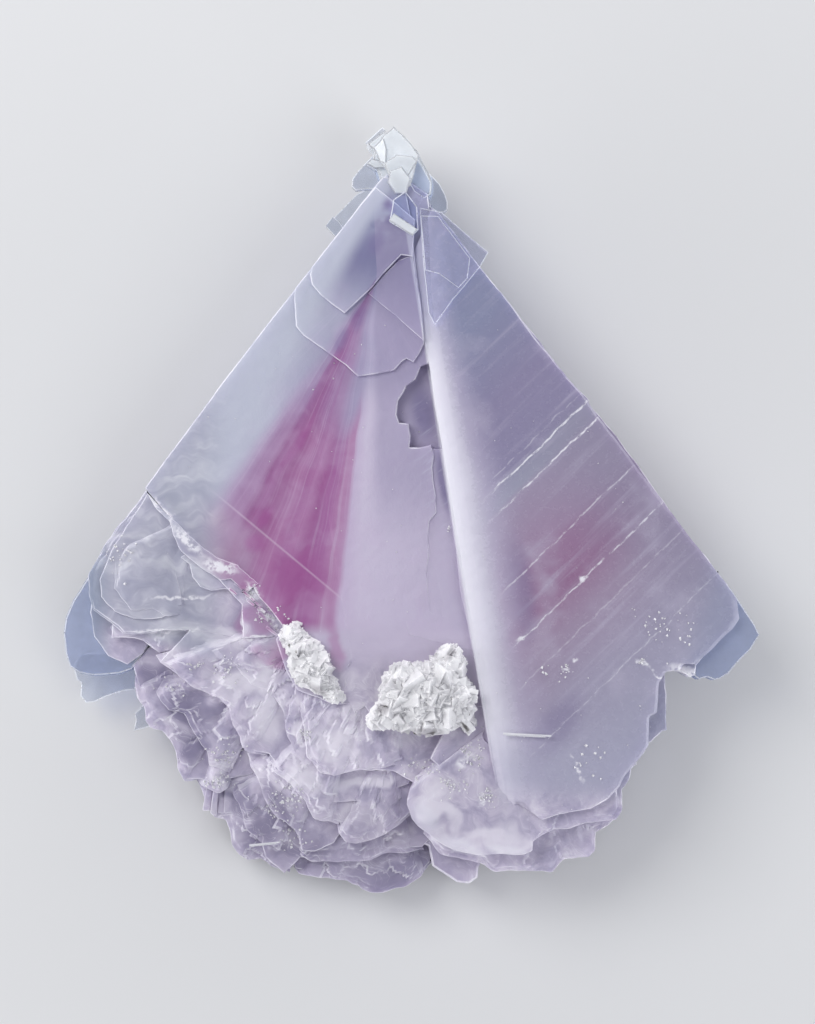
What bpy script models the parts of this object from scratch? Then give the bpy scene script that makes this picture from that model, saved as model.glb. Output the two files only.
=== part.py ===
"""Anhydrite specimen: a fan of intergrown tabular crystals, lying on its back.

Two large blades meet along a ridge and open downwards from a tip of small clear crystals. Thin plates overgrow the
blades near the tip, and stepped, scalloped plates make the lower rim. Two white granular masses and two needle
crystals sit on the front. Seen from above, +Y points to the tip and +X to the right. The back is flat, at Z = 0.
"""

import math
import random

import bmesh
import bpy
from mathutils import Matrix, Vector

MM = 0.001

# The whole fan, in millimetres: its width sets the scale that every outline below is drawn at.
FAN_WIDTH = 80.0
FAN_HEIGHT = 88.4
SCALE = FAN_WIDTH / 80.0

# Heights of the two main faces above the flat back.
LEFT_FACE = 11.9
RIGHT_FACE = 14.0
LEFT_TILT = (0.03, 0.0)
RIGHT_TILT = (-0.035, -0.03)

# The ridge where the right blade stands above the left one runs straight from the tip to the lower rim.
RIDGE_TOP = (0.3, 28.5)
RIDGE_FOOT = (10.5, -34.0)
# How far the right blade's face has dropped, at each distance from the ridge.
RIDGE_SHOULDER = ((0.0, 1.9), (0.9, 1.1), (2.6, 0.4), (5.4, 0.0))

CHAMFER = 0.3
GAP = 0.3

ZONED = (0.66, 0.60, 0.76, 1.0)
CHALK_WHITE = (0.87, 0.87, 0.84, 1.0)
SILKY_WHITE = (0.90, 0.90, 0.92, 1.0)


def clear_scene():
    for obj in list(bpy.data.objects):
        bpy.data.objects.remove(obj, do_unlink=True)


def finish(name, colour, roughness):
    """A Principled material, made once for each name."""
    material = bpy.data.materials.new(name)
    material.use_nodes = True
    shader = material.node_tree.nodes["Principled BSDF"]
    shader.inputs["Base Color"].default_value = colour
    shader.inputs["Roughness"].default_value = roughness
    shader.inputs["Metallic"].default_value = 0.0
    material.diffuse_color = colour
    return material


def object_of(name, bm, material):
    """Makes the bmesh an object of the scene, with its normals pointing out."""
    bmesh.ops.recalc_face_normals(bm, faces=bm.faces)
    mesh = bpy.data.meshes.new(name)
    bm.to_mesh(mesh)
    bm.free()
    mesh.materials.append(material)
    obj = bpy.data.objects.new(name, mesh)
    bpy.context.scene.collection.objects.link(obj)
    return obj


def plate_mesh(outline, base, top, tilt=(0.0, 0.0), chamfer=CHAMFER, centre=(0.0, 0.0)):
    """A tabular crystal: the outline extruded from base to top, its upper edge chamfered and its top face tilted.

    tilt is the rise of the top face for each millimetre along X and Y, counted from centre."""
    bm = bmesh.new()
    floor = bm.faces.new([bm.verts.new((x, y, base)) for x, y in outline])
    grown = bmesh.ops.extrude_face_region(bm, geom=[floor])["geom"]
    upper = [v for v in grown if isinstance(v, bmesh.types.BMVert)]
    cap = next(f for f in grown if isinstance(f, bmesh.types.BMFace))
    for v in upper:
        v.co.z = top
    bm.normal_update()
    bmesh.ops.recalc_face_normals(bm, faces=bm.faces)
    if chamfer:
        bmesh.ops.inset_region(bm, faces=[cap], thickness=chamfer, depth=0.0, use_even_offset=True)
        face = set(cap.verts)
        for v in bm.verts:
            if v.co.z > (base + top) / 2 and v not in face:
                v.co.z -= chamfer
    for v in bm.verts:
        if v.co.z > (base + top) / 2:
            v.co.z += tilt[0] * (v.co.x - centre[0]) + tilt[1] * (v.co.y - centre[1])
    return bm


def plate(name, outline, base, top, **shape):
    """A plate of the fan as a joining piece: the union reads it, and it isn't a node itself."""
    bm = plate_mesh(outline, base, top, **shape)
    bmesh.ops.scale(bm, vec=Vector((SCALE, SCALE, SCALE)) * MM, verts=bm.verts)
    obj = object_of(name, bm, bpy.data.materials["anhydrite"])
    obj.hide_render = True
    obj.display_type = "WIRE"
    return obj


def back_plates():
    """The plates of the back. The first is the flat face that the specimen rests on; the others step up from it."""
    rest = [
        (-3.5, 33.0), (-17.0, 15.0), (-27.0, 1.5), (-30.5, -7.5), (-25.5, -19.5), (-18.5, -31.0), (-9.0, -36.5),
        (5.0, -37.0), (16.5, -33.0), (23.5, -23.0), (25.5, -12.5), (30.5, -6.0), (18.0, 10.5), (6.5, 25.5),
        (2.0, 33.0),
    ]
    left = [
        (-4.2, 34.6), (-12.0, 25.2), (-21.0, 13.6), (-29.3, 2.4), (-34.0, -4.6), (-35.0, -9.5), (-31.0, -17.0),
        (-26.5, -24.5), (-22.0, -32.0), (-15.0, -37.8), (-6.0, -39.5), (-2.0, -30.0), (0.0, 0.0), (1.0, 34.0),
    ]
    right = [
        (0.0, 34.0), (2.8, 33.4), (9.0, 25.2), (19.0, 12.0), (29.6, -1.6), (36.5, -10.6), (34.4, -15.8),
        (29.0, -15.6), (27.2, -21.5), (24.4, -28.0), (19.5, -34.6), (12.0, -38.6), (3.0, -38.4), (-1.0, -20.0),
    ]
    return [
        plate("back_rest", rest, 0.0, 5.2),
        plate("back_left", left, 0.8, 3.4),
        plate("back_right", right, 1.3, 6.9),
    ]


def left_blade():
    """The left blade in three layers. The top one has broken away beside the ridge and along its lower left edge."""
    base = [
        (-3.0, 36.0), (-5.1, 34.9), (-12.0, 26.1), (-20.5, 15.2), (-29.8, 2.8), (-29.4, 0.4), (-26.0, -6.0),
        (-20.0, -11.0), (-14.0, -17.0), (-4.0, -26.0), (8.0, -25.0), (6.0, 0.0), (3.0, 20.0), (2.0, 35.0),
    ]
    lower = [
        (-2.7, 35.8), (-4.9, 34.8), (-11.7, 25.9), (-20.2, 15.0), (-29.5, 2.5), (-29.2, 1.4), (-28.4, 0.2),
        (-26.8, -1.7), (-26.5, -3.1), (-25.8, -4.6), (-23.8, -6.2), (-22.4, -6.8), (-21.4, -7.8), (-20.3, -7.5),
        (-18.2, -9.4), (-16.8, -10.4), (-15.3, -12.6), (-13.9, -14.9), (-11.4, -18.6), (-8.8, -21.8),
        (-6.1, -24.2), (-4.2, -25.6), (0.4, -26.4), (6.4, -25.8), (11.0, -25.0), (9.5, 0.0), (5.0, 20.0), (2.5, 35.0),
    ]
    upper = [
        (-3.1, 36.6), (-5.3, 35.2), (-12.2, 26.3), (-20.7, 15.4), (-30.1, 2.9), (-28.4, 0.5), (-26.6, -1.4),
        (-24.9, -2.7), (-22.9, -4.3), (-21.2, -5.1), (-19.3, -4.9), (-19.0, -7.0), (-17.2, -9.1), (-15.6, -11.2),
        (-14.2, -13.4), (-11.2, -17.2), (-8.3, -20.6), (-6.2, -23.1), (-5.0, -22.2), (-3.8, -24.2), (0.4, -25.0),
        (6.2, -24.4), (9.5, -24.0), (8.0, -12.4), (6.2, -12.2), (2.5, -11.2), (2.3, -5.2), (2.4, -0.7),
        (3.2, 0.0), (2.9, 3.4), (2.7, 6.0), (2.4, 7.6), (0.2, 7.2), (0.0, 9.9), (-1.1, 10.2), (-1.4, 11.6),
        (-1.2, 12.9), (-0.3, 14.4), (3.4, 17.2), (4.0, 22.0), (2.2, 36.0),
    ]
    return [
        plate("left_base", base, 2.9, 7.6, chamfer=0.2),
        plate("left_lower", lower, 7.0, 10.5, tilt=LEFT_TILT),
        plate("left_upper", upper, 9.0, LEFT_FACE, tilt=LEFT_TILT),
    ]


def right_blade():
    """The right blade in two layers, its left side cut by sloping planes into a shoulder that rises from the ridge."""
    outline = [
        RIDGE_TOP, (1.7, 19.3), RIDGE_FOOT, (12.6, -34.4), (14.8, -34.7), (20.1, -33.8), (23.8, -30.3),
        (26.8, -27.3), (27.0, -23.0), (27.9, -22.7), (28.2, -19.3), (30.6, -17.9), (32.3, -17.3), (36.8, -13.0),
        (37.3, -12.1), (37.0, -10.0), (35.2, -7.2), (28.0, 2.0), (20.2, 12.4), (14.9, 18.8), (8.1, 27.7),
        (3.4, 33.7), (1.2, 34.5), (-0.6, 32.0),
    ]
    bm = plate_mesh(outline, 9.3, RIGHT_FACE, tilt=RIGHT_TILT, chamfer=0.0)
    along = Vector((RIDGE_FOOT[0] - RIDGE_TOP[0], RIDGE_FOOT[1] - RIDGE_TOP[1], 0.0)).normalized()
    along.z = RIGHT_TILT[0] * along.x + RIGHT_TILT[1] * along.y
    across = Vector((-along.y, along.x, 0.0)).normalized()
    for (near, near_drop), (far, far_drop) in zip(RIDGE_SHOULDER, RIDGE_SHOULDER[1:]):
        start = Vector((RIDGE_TOP[0], RIDGE_TOP[1], 0.0)) + across * near
        start.z = RIGHT_FACE + RIGHT_TILT[0] * start.x + RIGHT_TILT[1] * start.y - near_drop
        rise = across.copy()
        rise.z = (near_drop - far_drop) / (far - near) + RIGHT_TILT[0] * across.x + RIGHT_TILT[1] * across.y
        normal = rise.cross(along)
        if normal.z < 0:
            normal.negate()
        cut = bmesh.ops.bisect_plane(
            bm, geom=bm.verts[:] + bm.edges[:] + bm.faces[:], plane_co=start, plane_no=normal, clear_outer=True
        )
        edges = [e for e in cut["geom_cut"] if isinstance(e, bmesh.types.BMEdge)]
        bmesh.ops.edgeloop_fill(bm, edges=edges)
    bmesh.ops.scale(bm, vec=Vector((SCALE, SCALE, SCALE)) * MM, verts=bm.verts)
    obj = object_of("right_upper", bm, bpy.data.materials["anhydrite"])
    obj.hide_render = True
    obj.display_type = "WIRE"
    seam = [
        (1.0, 33.8), (3.0, 33.3), (7.6, 27.3), (14.4, 18.4), (19.7, 12.0), (27.5, 1.6), (34.7, -7.6),
        (36.6, -10.2), (36.3, -12.8), (32.0, -16.8), (28.0, -18.6), (26.6, -22.0), (26.4, -27.0), (23.0, -30.0),
        (20.0, -33.0), (12.0, -33.0), (6.0, -26.0), (4.0, 0.0), (0.0, 20.0),
    ]
    return [obj, plate("right_seam", seam, 6.3, 10.4, chamfer=0.0)]


def apex_overgrowths():
    """The thin right-angled plates that overgrow both blades below the tip."""
    left_long = [
        (-5.6, 34.9), (-12.9, 25.3), (-13.1, 20.8), (-9.6, 18.5), (-7.7, 17.1), (-5.9, 15.3), (-1.7, 16.0),
        (-0.7, 16.9), (0.4, 17.0), (1.7, 18.6), (1.5, 22.4), (0.6, 29.0), (0.0, 33.5),
    ]
    left_short = [
        (-5.4, 34.9), (-11.0, 27.7), (-11.2, 25.7), (-9.9, 24.4), (-7.4, 22.3), (-4.4, 25.1), (-2.6, 27.2),
        (-0.9, 28.9), (0.4, 28.8), (0.7, 33.0), (-1.6, 35.0),
    ]
    right_long = [
        (0.9, 33.9), (3.6, 33.7), (7.3, 30.8), (9.0, 29.3), (8.1, 27.6), (6.3, 25.3), (2.7, 20.5), (1.9, 20.4),
        (1.1, 23.0), (0.7, 29.0),
    ]
    right_short = [(1.3, 33.4), (3.3, 33.3), (6.9, 28.6), (6.6, 26.0), (5.6, 25.0), (3.4, 26.8), (1.8, 27.2)]
    return [
        plate("apex_left_long", left_long, 9.0, LEFT_FACE + 0.45, tilt=LEFT_TILT, chamfer=0.2),
        plate("apex_left_short", left_short, 9.2, LEFT_FACE + 0.95, tilt=LEFT_TILT, chamfer=0.2),
        plate("apex_right_long", right_long, 10.3, 13.5, tilt=(-0.02, -0.01), chamfer=0.2),
        plate("apex_right_short", right_short, 10.6, 14.0, tilt=(-0.02, -0.01), chamfer=0.2),
    ]


def tip_crystals():
    """The small clear crystals of the tip, which look out past both edges of the blades."""
    crown = [
        (-4.6, 41.4), (-4.9, 42.1), (-3.0, 43.8), (-2.5, 43.5), (-1.7, 44.1), (-0.5, 42.9), (0.2, 42.0),
        (1.1, 41.1), (2.6, 38.5), (2.9, 37.2), (2.7, 36.0), (1.2, 34.4), (-1.6, 33.6), (-3.4, 36.6), (-4.4, 38.7),
        (-4.2, 40.9),
    ]
    crown_front = [
        (-3.6, 41.8), (-2.0, 43.2), (0.3, 41.2), (1.5, 38.8), (1.0, 36.0), (-0.2, 34.6), (-1.8, 35.2), (-2.8, 38.4),
    ]
    left_tablet = [
        (-4.2, 40.7), (-5.8, 39.0), (-6.6, 38.2), (-6.6, 37.0), (-6.1, 36.7), (-4.9, 36.9), (-3.0, 35.5),
        (-2.2, 38.0), (-3.0, 40.5),
    ]
    right_tablet = [
        (2.6, 38.4), (3.5, 37.4), (4.2, 36.2), (4.5, 35.3), (4.5, 34.5), (4.1, 34.1), (3.4, 34.1), (2.2, 33.4),
        (0.8, 35.0), (1.2, 37.8),
    ]
    left_strip = [(-4.4, 37.5), (-9.7, 32.8), (-8.2, 31.2), (-5.0, 31.0), (-2.5, 34.5)]
    right_strip = [(2.2, 34.9), (3.7, 33.9), (9.0, 29.3), (8.0, 27.4), (5.5, 26.0), (0.5, 32.0)]
    wedge = [(-2.4, 32.5), (0.4, 31.0), (1.2, 31.8), (0.9, 34.4), (-0.6, 36.2), (-2.0, 35.4)]
    return [
        plate("tip_crown", crown, 5.6, 10.9, tilt=(0.05, -0.02)),
        plate("tip_crown_front", crown_front, 7.0, 13.2, tilt=(0.12, -0.12), centre=(-1.0, 39.0), chamfer=0.5),
        plate("tip_left_tablet", left_tablet, 6.3, 8.6, tilt=(0.1, 0.0), centre=(-5.0, 38.0)),
        plate("tip_right_tablet", right_tablet, 6.8, 9.5, tilt=(-0.1, 0.0), centre=(3.5, 36.0)),
        plate("tip_left_strip", left_strip, 4.9, 6.6, chamfer=0.2),
        plate("tip_right_strip", right_strip, 8.9, 11.2, chamfer=0.2),
        plate("tip_wedge", wedge, 10.0, 13.9, tilt=(0.0, 0.1), centre=(0.0, 33.0), chamfer=0.4),
    ]


def right_wing():
    """The plates of the right wing, which reach past the face of the right blade, with a broken lower edge."""
    far = [
        (24.0, 6.8), (30.8, -1.9), (35.6, -8.2), (38.2, -11.0), (40.0, -14.1), (38.9, -15.4), (37.6, -16.6),
        (35.7, -18.4), (34.4, -19.2), (33.6, -18.9), (32.6, -19.3), (31.6, -19.1), (30.6, -18.2), (29.1, -18.4),
        (25.0, -16.0), (16.0, -5.0),
    ]
    under = [
        (30.0, -3.0), (37.6, -12.2), (38.3, -14.8), (38.9, -16.0), (37.3, -17.8), (35.2, -19.5), (32.0, -17.0),
        (26.0, -14.0),
    ]
    edge_strip = [(19.0, 13.7), (23.1, 9.3), (25.8, 5.5), (28.3, 1.9), (31.0, -1.8), (28.0, -1.0), (17.0, 12.0)]
    return [
        plate("wing_far", far, 5.6, 12.5, tilt=(-0.03, -0.01), centre=(30.0, -10.0)),
        plate("wing_under", under, 4.8, 8.9, centre=(34.0, -12.0)),
        plate("wing_edge", edge_strip, 6.9, 11.9, chamfer=0.2),
    ]


def lower_right_steps():
    """The stepped plates under the right blade, from its foot out to the lower right rim."""
    foot = [
        (-0.1, -31.4), (0.1, -33.2), (0.8, -35.1), (2.7, -37.0), (5.0, -38.5), (9.0, -38.8), (13.1, -38.9),
        (14.0, -38.4), (14.0, -37.3), (15.3, -36.3), (17.8, -36.0), (20.0, -35.1), (23.5, -35.0), (24.2, -34.0),
        (24.1, -31.3), (25.0, -30.5), (25.3, -28.8), (27.0, -27.2), (27.1, -22.0), (22.0, -14.0), (12.0, -16.0),
        (9.4, -26.5), (5.6, -26.6), (2.8, -28.9), (0.6, -29.8),
    ]
    ledge = [
        (2.6, -37.1), (5.2, -38.9), (8.3, -40.4), (10.0, -41.3), (13.0, -41.1), (16.3, -41.2), (17.7, -39.6),
        (20.8, -39.3), (21.3, -38.7), (21.5, -36.5), (24.0, -35.1), (24.5, -34.1), (24.4, -31.0), (26.0, -28.8),
        (25.0, -22.0), (5.0, -24.0), (2.0, -33.0),
    ]
    side = [
        (29.1, -18.2), (29.3, -21.2), (29.4, -24.8), (28.3, -24.9), (27.4, -26.2), (27.0, -26.3), (24.0, -26.0),
        (24.0, -17.0), (28.0, -17.0),
    ]
    chip = [(27.6, -26.0), (27.1, -27.2), (26.0, -28.0), (26.1, -28.9), (25.3, -28.9), (25.1, -30.6), (24.3, -31.2),
            (22.0, -30.0), (23.5, -25.0)]
    white_edge = [(0.2, -31.8), (0.5, -33.0), (1.3, -34.8), (3.4, -36.8), (6.0, -38.1), (8.4, -38.3), (9.5, -37.2),
                  (5.0, -34.6), (3.0, -31.5), (2.2, -29.6), (0.9, -30.2)]
    return [
        plate("foot", foot, 4.1, 12.6, chamfer=0.6),
        plate("foot_white_edge", white_edge, 6.0, 13.1, chamfer=0.8),
        plate("ledge", ledge, 2.7, 10.2),
        plate("side", side, 6.1, 10.9, tilt=(-0.1, 0.0), centre=(27.0, -22.0)),
        plate("rim_chip", chip, 4.4, 9.1),
    ]


def lower_left_shells():
    """The scalloped plates of the lower rim, each one set further back and reaching further down than the last."""
    shell_high = [
        (-12.2, -24.6), (-12.1, -26.6), (-11.7, -28.1), (-10.8, -29.2), (-9.4, -29.9), (-7.6, -30.0), (-5.0, -29.4),
        (-1.6, -28.8), (1.4, -28.6), (5.6, -27.6), (8.6, -24.6), (5.0, -20.0), (-6.0, -19.0), (-11.0, -19.6),
    ]
    shell_mid = [
        (-14.4, -29.8), (-13.2, -31.6), (-11.6, -33.6), (-10.2, -34.9), (-8.1, -35.6), (-7.9, -37.1), (-7.3, -37.8),
        (-6.0, -37.9), (-3.4, -37.2), (-1.0, -35.9), (0.6, -34.7), (3.0, -32.0), (2.0, -26.0), (-8.0, -24.0),
        (-15.0, -26.0),
    ]
    shell_low = [
        (-16.8, -39.9), (-16.2, -41.0), (-14.3, -42.0), (-13.2, -41.8), (-10.6, -41.0), (-8.3, -40.6), (-5.0, -40.0),
        (-2.5, -39.4), (0.6, -39.0), (3.0, -38.2), (5.0, -35.0), (0.0, -30.0), (-12.0, -30.0), (-17.4, -35.6),
    ]
    shell_foot = [
        (-13.3, -41.6), (-12.0, -42.2), (-9.6, -42.5), (-6.9, -42.8), (-5.4, -43.8), (-4.4, -44.2), (-2.9, -44.2),
        (-1.3, -43.9), (0.2, -43.2), (1.6, -42.3), (2.8, -40.7), (4.0, -37.0), (0.0, -32.0), (-12.0, -33.0),
        (-16.0, -37.0),
    ]
    round_blade = [
        (2.6, -40.7), (4.8, -42.2), (6.0, -42.8), (7.0, -42.9), (8.0, -42.1), (7.9, -41.1), (8.4, -40.3),
        (8.0, -36.0), (3.0, -34.0), (1.0, -38.0),
    ]
    heart = [
        (-26.4, -18.7), (-25.0, -19.8), (-22.9, -20.6), (-21.0, -21.4), (-20.0, -23.1), (-19.6, -25.4),
        (-18.8, -27.6), (-17.2, -27.9), (-15.6, -27.3), (-15.5, -28.6), (-14.4, -30.2), (-12.8, -31.7),
        (-11.4, -33.6), (-9.8, -34.4), (-5.0, -33.0), (0.0, -31.0), (1.0, -24.0), (-8.0, -17.0), (-13.0, -12.0),
        (-20.0, -9.5), (-23.6, -12.0), (-24.6, -15.4),
    ]
    cheek = [
        (-19.0, -27.4), (-18.2, -28.6), (-17.7, -30.3), (-16.7, -31.5), (-16.0, -33.5), (-15.3, -34.6), (-14.0, -35.3),
        (-13.0, -37.1), (-12.2, -39.0), (-10.8, -39.3), (-8.6, -38.0), (-6.0, -34.0), (-8.0, -28.0), (-16.0, -24.0),
    ]
    purple_shelf = [
        (-31.5, -20.0), (-31.2, -21.6), (-30.6, -22.6), (-30.0, -25.0), (-28.6, -25.3), (-27.5, -26.0),
        (-27.3, -27.3), (-26.9, -27.7), (-26.8, -29.6), (-26.2, -30.4), (-25.8, -31.2), (-24.4, -31.0),
        (-22.0, -31.2), (-18.0, -30.5), (-15.0, -26.0), (-17.0, -16.0), (-24.0, -13.5), (-30.0, -15.5), (-32.0, -17.6),
    ]
    low_shelf = [
        (-24.6, -30.6), (-24.0, -32.0), (-23.8, -33.4), (-23.2, -34.7), (-22.4, -35.3), (-21.3, -35.4),
        (-20.8, -36.0), (-20.5, -37.6), (-20.2, -38.9), (-19.6, -39.8), (-18.5, -40.4), (-17.5, -40.1),
        (-16.6, -40.0), (-16.2, -41.0), (-13.8, -41.7), (-11.0, -38.0), (-13.0, -30.0), (-20.0, -26.5),
    ]
    return [
        plate("shell_high", shell_high, 6.9, 11.3, tilt=(0.02, 0.02), centre=(-5.0, -26.0)),
        plate("shell_mid", shell_mid, 4.6, 9.6, tilt=(0.01, 0.04), centre=(-5.0, -33.0)),
        plate("shell_low", shell_low, 2.9, 7.4, tilt=(0.0, 0.03), centre=(-6.0, -38.0)),
        plate("shell_foot", shell_foot, 1.6, 5.5, tilt=(0.0, 0.04), centre=(-4.0, -41.0)),
        plate("round_blade", round_blade, 1.9, 6.3, tilt=(0.0, 0.05), centre=(5.0, -41.0), chamfer=0.5),
        plate("heart", heart, 4.6, 10.1, tilt=(0.02, 0.01), centre=(-15.0, -22.0)),
        plate("cheek", cheek, 4.6, 8.4, centre=(-14.0, -32.0)),
        plate("purple_shelf", purple_shelf, 3.4, 7.2, tilt=(0.03, 0.0), centre=(-26.0, -24.0)),
        plate("low_shelf", low_shelf, 2.3, 6.1, tilt=(0.02, 0.0), centre=(-20.0, -35.0)),
    ]


def left_wing():
    """The broken plates of the left wing, below the left blade, with a clear flake and a chip under them."""
    pale = [
        (-29.9, 2.7), (-32.0, 0.0), (-35.0, -4.1), (-36.8, -6.9), (-36.7, -9.2), (-36.0, -11.3), (-35.0, -12.0),
        (-34.4, -12.9), (-33.2, -13.2), (-32.4, -14.0), (-29.6, -14.0), (-27.0, -13.7), (-24.4, -14.1),
        (-19.6, -14.6), (-17.4, -14.2), (-13.0, -13.6), (-14.0, -6.0), (-22.0, 4.0), (-26.0, 5.0),
    ]
    under_pale = [
        (-34.0, -14.4), (-31.0, -14.7), (-29.6, -15.4), (-28.6, -16.2), (-27.0, -16.3), (-25.6, -15.4),
        (-22.4, -16.2), (-18.0, -17.0), (-15.0, -12.0), (-24.0, -6.0), (-34.0, -9.0),
    ]
    blue = [
        (-36.4, -6.4), (-38.6, -9.9), (-39.7, -11.9), (-40.0, -13.5), (-40.0, -15.0), (-39.7, -16.4), (-39.2, -17.2),
        (-38.8, -18.7), (-36.2, -19.1), (-33.4, -18.8), (-31.8, -18.3), (-29.0, -15.0), (-28.0, -8.0), (-33.0, -3.0),
    ]
    flake = [
        (-38.9, -18.2), (-38.5, -19.6), (-38.0, -19.8), (-38.1, -21.5), (-37.4, -22.3), (-36.3, -22.1),
        (-35.0, -21.4), (-33.3, -20.8), (-31.9, -20.7), (-31.4, -20.1), (-30.0, -17.0), (-34.0, -15.0),
        (-38.0, -16.0),
    ]
    chip = [
        (-30.4, -21.6), (-31.2, -22.9), (-31.8, -23.4), (-31.5, -24.1), (-31.9, -25.4), (-30.4, -25.0),
        (-29.2, -24.6), (-28.4, -22.8),
    ]
    return [
        plate("pale_shelf", pale, 3.9, 9.2, tilt=(0.02, 0.0), centre=(-28.0, -6.0)),
        plate("under_pale_shelf", under_pale, 3.0, 8.0),
        plate("blue_shelf", blue, 3.0, 6.7, tilt=(0.06, 0.0), centre=(-34.0, -12.0)),
        plate("clear_flake", flake, 2.5, 4.0, chamfer=0.2),
        plate("clear_chip", chip, 3.7, 5.0, chamfer=0.2),
    ]


def broken_blocks():
    """The small angular blocks in the break between the left blade, the left wing and the lower shells."""
    blocks = {
        "block_a": ([(-22.6, -5.8), (-21.0, -5.4), (-19.4, -6.2), (-19.8, -7.6), (-21.6, -7.9)], 11.2),
        "block_b": ([(-25.6, -5.4), (-24.2, -6.0), (-23.6, -8.0), (-21.8, -8.9), (-21.0, -7.4), (-24.0, -4.6)], 10.0),
        "block_c": ([(-22.0, -9.4), (-20.4, -9.2), (-18.6, -11.0), (-16.4, -12.6), (-18.8, -14.6), (-21.4, -13.4)], 9.8),
        "block_d": ([(-19.0, -12.0), (-16.2, -11.4), (-14.8, -13.6), (-16.0, -15.4), (-18.8, -15.0)], 10.4),
        "block_e": ([(-23.6, -16.2), (-20.2, -15.8), (-18.6, -17.6), (-20.8, -20.0), (-23.8, -19.2)], 10.7),
        "block_f": ([(-16.4, -24.2), (-13.4, -23.0), (-12.6, -26.4), (-14.6, -28.4), (-17.0, -27.0)], 10.6),
        "block_g": ([(-16.2, -31.0), (-13.6, -30.6), (-12.0, -32.8), (-13.4, -34.6), (-15.8, -33.8)], 9.2),
        "block_h": ([(-24.2, -30.0), (-21.0, -29.6), (-20.4, -31.8), (-21.4, -33.6), (-23.6, -33.0)], 7.6),
    }
    made = [plate(name, outline, top - 3.2, top, chamfer=0.35) for name, (outline, top) in blocks.items()]
    under_lump = [
        (-15.0, -14.5), (-13.6, -12.4), (-7.0, -18.2), (-6.8, -21.8), (-9.0, -21.8), (-12.6, -20.2), (-14.0, -18.0),
    ]
    return made + [plate("under_lump", under_lump, 8.0, LEFT_FACE - 0.05, tilt=LEFT_TILT)]


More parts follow.
